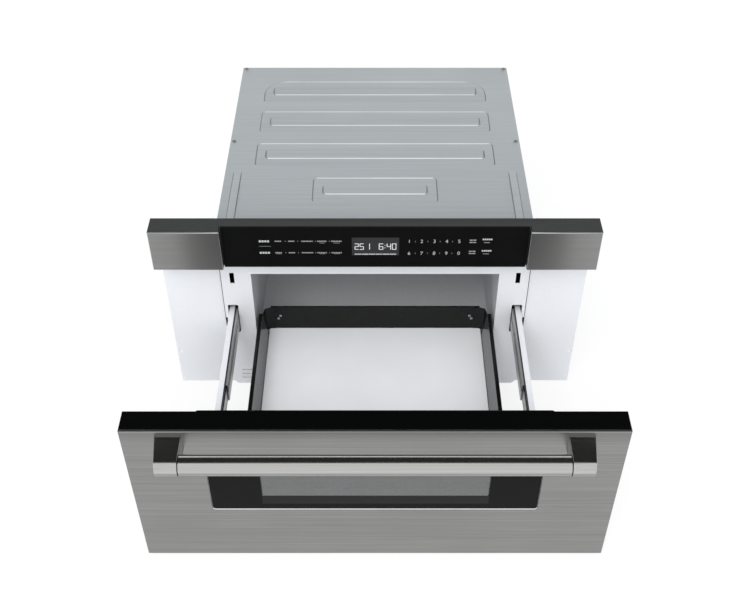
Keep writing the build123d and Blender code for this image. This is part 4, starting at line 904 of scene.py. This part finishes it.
def perforated_sheet(tree, given):
    """A sheet with round holes on a close-packed lattice."""
    half = maths(tree, "MULTIPLY", given["Pitch"], 0.5)
    rise = maths(tree, "MULTIPLY", given["Pitch"], math.sqrt(3) / 2)
    reach = maths(tree, "MULTIPLY", given["Pitch"], 1 / math.sqrt(3))
    wide = maths(tree, "MULTIPLY", maths(tree, "SUBTRACT", given["Columns"], 1.0), given["Pitch"])
    tall = maths(tree, "MULTIPLY", maths(tree, "SUBTRACT", given["Row pairs"], 1.0),
                 maths(tree, "MULTIPLY", rise, 2.0))
    grid = add(tree, "GeometryNodeMeshGrid", {
        "Size X": wide, "Size Y": tall, "Vertices X": given["Columns"], "Vertices Y": given["Row pairs"]})
    moved = add(tree, "GeometryNodeTransform", {
        "Geometry": grid.outputs[0], "Translation": vector(tree, X=half, Y=rise)})
    lattice = together(tree, grid.outputs[0], moved.outputs[0])
    cell = add(tree, "GeometryNodeMeshCircle", {"Vertices": 6, "Radius": reach}, fill_type="NGON")
    turned = add(tree, "GeometryNodeTransform", {
        "Geometry": cell.outputs[0], "Rotation": (0, 0, math.pi / 6)})
    ring = add(tree, "GeometryNodeExtrudeMesh", {
        "Mesh": turned.outputs[0], "Offset Scale": 0.0}, mode="FACES")
    shrunk = add(tree, "GeometryNodeScaleElements", {
        "Geometry": ring.outputs["Mesh"], "Selection": ring.outputs["Top"], "Scale": given["Open share"]})
    opened = add(tree, "GeometryNodeDeleteGeometry", {
        "Geometry": shrunk.outputs[0], "Selection": ring.outputs["Top"]}, domain="FACE")
    cells = add(tree, "GeometryNodeInstanceOnPoints", {
        "Points": lattice, "Instance": opened.outputs[0]})
    flat = add(tree, "GeometryNodeRealizeInstances", {"Geometry": cells.outputs[0]})
    whole = add(tree, "GeometryNodeMergeByDistance", {"Geometry": flat.outputs[0], "Distance": 0.02 * MM})
    thick = add(tree, "GeometryNodeExtrudeMesh", {
        "Mesh": whole.outputs[0], "Offset Scale": given["Thickness"], "Individual": False}, mode="FACES")
    under = add(tree, "GeometryNodeFlipFaces", {"Mesh": whole.outputs[0]})
    return add(tree, "GeometryNodeTransform", {
        "Geometry": together(tree, thick.outputs["Mesh"], under.outputs[0]),
        "Translation": vector(tree, Y=given["Back Y"], Z=given["Middle Z"]),
        "Rotation": (math.pi / 2, 0, 0)}).outputs[0]


# The real holes are about 1.6 mm apart; they are drawn 3.2 mm apart so that they show.
SCREEN_PITCH = 3.2
SCREEN_MIDDLE_Z = 176.3
DOTS_HALF_H = 32.6
grown("perforated_window_screen", perforated_sheet,
      {"Pitch": SCREEN_PITCH, "Thickness": 0.7, "Back Y": DOOR_BACK_Y - 0.05, "Middle Z": SCREEN_MIDDLE_Z},
      {"Columns": 117, "Row pairs": 14, "Open share": 0.66},
      perforated_steel, "drawer", ["window_screen"])
grown("window_dots", perforated_sheet,
      {"Pitch": SCREEN_PITCH, "Thickness": 0.05, "Back Y": DOOR_FRONT_Y - 0.01,
       "Middle Z": DOT_BOTTOM_Z + DOTS_HALF_H},
      {"Columns": 111, "Row pairs": 12, "Open share": 0.32}, dot_print, "drawer")
clear_left, clear_right, clear_bottom, _ = CLEAR_ZONE
place("window_band", box_mesh("window_band", (clear_left, DOOR_FRONT_Y - 0.03, clear_bottom),
                              (clear_right, DOOR_FRONT_Y + 0.3, DOT_BOTTOM_Z)),
      dark_band, "drawer")

# ===== Tray, slides and arms =====

# Below their rims the walls take the paler enamel, a painted reflection of the floor; the rims stay black.
for node_name in ("tray_left_wall", "tray_right_wall"):
    wall = eased(node_name, 0.35, wall_enamel).data
    wall.materials.append(dark_enamel)
    for face in wall.polygons:
        face.material_index = int(face.center.z > (TRAY_RIM_Z - 0.6) * MM)
for node_name in ("tray_rear_wall", "tray_corner_brackets"):
    eased(node_name, 0.35)
eased("tray_base", 0.3)
TRAY_GLASS_SPREAD = 1.7  # the floor's ground edges run close to the walls
for vertex in eased("tray_glass", 1.0, opal_glass, 3).data.vertices:
    vertex.co.x += math.copysign(TRAY_GLASS_SPREAD * MM, vertex.co.x)


def banded(node, bands, inward=False):
    """An eased piece whose faces take other finishes between given heights in millimetres.

    With inward, only the faces that look towards mid-width take them.
    """
    mesh = eased(node, 0.3).data
    work = bmesh.new()
    work.from_mesh(mesh)
    for height in sorted({height for band in bands for height in band[:2]}):
        bmesh.ops.bisect_plane(work, geom=work.verts[:] + work.edges[:] + work.faces[:],
                               plane_co=(0, 0, height * MM), plane_no=(0, 0, 1))
    work.to_mesh(mesh)
    work.free()
    if "custom_normal" in mesh.attributes:
        mesh.attributes.remove(mesh.attributes["custom_normal"])
    smooth(mesh)
    for index, (low, high, material) in enumerate(bands):
        mesh.materials.append(material)
        for face in mesh.polygons:
            if inward and face.normal.x * face.center.x > -0.5 * abs(face.center.x):
                continue
            if low * MM < face.center.z < high * MM:
                face.material_index = index + 1


# Dark bands paint the shadow in the gap above each slide, beside its arm, and in the middle slide's groove.
for side_name in ("left", "right"):
    banded(side_name + "_arm", ((180.5, 187.5, painted_shadow_groove),), inward=True)
    eased(side_name + "_rail_fixed", 0.3, dark_rail)
    banded(side_name + "_rail_middle", ((166.5, 171.5, painted_shadow_groove), (171.5, 190.0, grey_race_band)))
    banded(side_name + "_rail_inner", ((168.5, 173.5, grey_race_band), (173.5, 190.0, painted_shadow_groove)))

# ===== Everything else keeps its CAD shape =====

for node_name, node in frame["nodes"].items():
    if not node.hide_render:
        material = dark_rail if node_name == "rail_brackets" else FINISHES[SLOT_OF[node_name]]
        node.data.materials.clear()
        node.data.materials.append(material)

# ===== Studio =====

FLOOR_Z = -10.6
FLOOR_REACH = 9000.0
FLOOR_GLOW = 0.8  # how far the floor's own white drowns its shadows
# A dark flag overhead, seen by metal and glass alone: its tilt back from upright, and the radii of its
# dark core and its soft edge.
FLAG_TILT = math.radians(22.3)
FLAG_CORE = math.radians(33.4)
FLAG_EDGE = math.radians(39.3)
FLAG_LEVEL = 0.025
KEY_ENERGY = 1.3
KEY_SPREAD = 34.0  # degrees
KEY_TURN = (34.0, -14.0, 0.0)  # degrees
FILL_ENERGY = 9.0
FILL_SIZE = 1.2  # metres, as are the places below
FILL_PLACE = (0.0, -1.5, 0.85)
FILL_TURN = (68.0, 0.0, 0.0)
CAMERA_LENS = 50.19
CAMERA_PLACE = (0.0, -1.3903, 1.4983)
CAMERA_TURN = (46.814, 0.0, 0.0)


def shown_rays(tree):
    """1 for the rays that show the background: camera, glossy and transmission."""
    path = add(tree, "ShaderNodeLightPath")
    first = maths(tree, "MAXIMUM", path.outputs["Is Camera Ray"], path.outputs["Is Glossy Ray"])
    return maths(tree, "MAXIMUM", first, path.outputs["Is Transmission Ray"])


floor_corners = ((-1, -1), (1, -1), (1, 1), (-1, 1))
floor_mesh = mesh_of("studio_floor", [(FLOOR_REACH * x, FLOOR_REACH * y, FLOOR_Z) for x, y in floor_corners],
                     [(0, 1, 2, 3)])
floor = linked("studio_floor", floor_mesh)
floor_paint = bpy.data.materials.new("studio_floor_paint")
floor_paint.use_nodes = True
floor_tree = floor_paint.node_tree
floor_tree.nodes.clear()
lit_paint = add(floor_tree, "ShaderNodeBsdfDiffuse", {"Color": linear("#f4f4f4")})
glow = add(floor_tree, "ShaderNodeEmission", {"Color": (1, 1, 1, 1), "Strength": 1.0})
glow_share = maths(floor_tree, "MULTIPLY", shown_rays(floor_tree), FLOOR_GLOW)
floor_mix = add(floor_tree, "ShaderNodeMixShader", {
    0: glow_share, 1: lit_paint.outputs[0], 2: glow.outputs[0]})
add(floor_tree, "ShaderNodeOutputMaterial", {"Surface": floor_mix.outputs[0]})
floor_mesh.materials.append(floor_paint)

world = bpy.data.worlds.new("studio_world")
scene.world = world
world.use_nodes = True
sky = world.node_tree
sky.nodes.clear()
soft = add(sky, "ShaderNodeBackground", {"Color": linear("#f7f8fa"), "Strength": 0.95})
# Metal and glass see white all round, apart from the flag, which gives the rounded steel its band.
direction = add(sky, "ShaderNodeSeparateXYZ", {"Vector": add(sky, "ShaderNodeTexCoord").outputs["Generated"]})
upright_plane = vector(sky, Y=direction.outputs["Y"], Z=direction.outputs["Z"])
unit = add(sky, "ShaderNodeVectorMath", {0: upright_plane}, operation="NORMALIZE")
toward = add(sky, "ShaderNodeVectorMath", {
    0: unit.outputs[0], 1: (0, math.sin(FLAG_TILT), math.cos(FLAG_TILT))}, operation="DOT_PRODUCT")
flag = ramp(sky, toward.outputs["Value"], math.cos(FLAG_EDGE), math.cos(FLAG_CORE), 1.0, FLAG_LEVEL)
mirrored = add(sky, "ShaderNodeBackground", {"Color": (1, 1, 1, 1), "Strength": flag})
seen = add(sky, "ShaderNodeBackground", {"Color": (1, 1, 1, 1), "Strength": 1.0})
path = add(sky, "ShaderNodeLightPath")
glossy_or_soft = add(sky, "ShaderNodeMixShader", {
    0: path.outputs["Is Glossy Ray"], 1: soft.outputs[0], 2: mirrored.outputs[0]})
through = maths(sky, "MAXIMUM", path.outputs["Is Camera Ray"], path.outputs["Is Transmission Ray"])
all_rays = add(sky, "ShaderNodeMixShader", {
    0: through, 1: glossy_or_soft.outputs[0], 2: seen.outputs[0]})
add(sky, "ShaderNodeOutputWorld", {"Surface": all_rays.outputs[0]})

sun_data = bpy.data.lights.new("key_light", "SUN")
sun_data.energy = KEY_ENERGY
sun_data.angle = math.radians(KEY_SPREAD)
sun = linked("key_light", sun_data)
sun.rotation_euler = [math.radians(turn) for turn in KEY_TURN]
sun.visible_glossy = False

fill_data = bpy.data.lights.new("front_fill", "AREA")
fill_data.shape = "DISK"
fill_data.size = FILL_SIZE
fill_data.energy = FILL_ENERGY
fill = linked("front_fill", fill_data)
fill.location = FILL_PLACE
fill.rotation_euler = [math.radians(turn) for turn in FILL_TURN]
fill.visible_glossy = False

camera_data = bpy.data.cameras.new("photo_camera")
camera_data.sensor_width = 36.0
camera_data.sensor_fit = "HORIZONTAL"
camera_data.lens = CAMERA_LENS
camera_data.clip_start = 0.05
camera_data.clip_end = 60.0
camera = linked("photo_camera", camera_data)
camera.location = CAMERA_PLACE
camera.rotation_euler = [math.radians(turn) for turn in CAMERA_TURN]
scene.camera = camera
scene.view_settings.view_transform = "Standard"
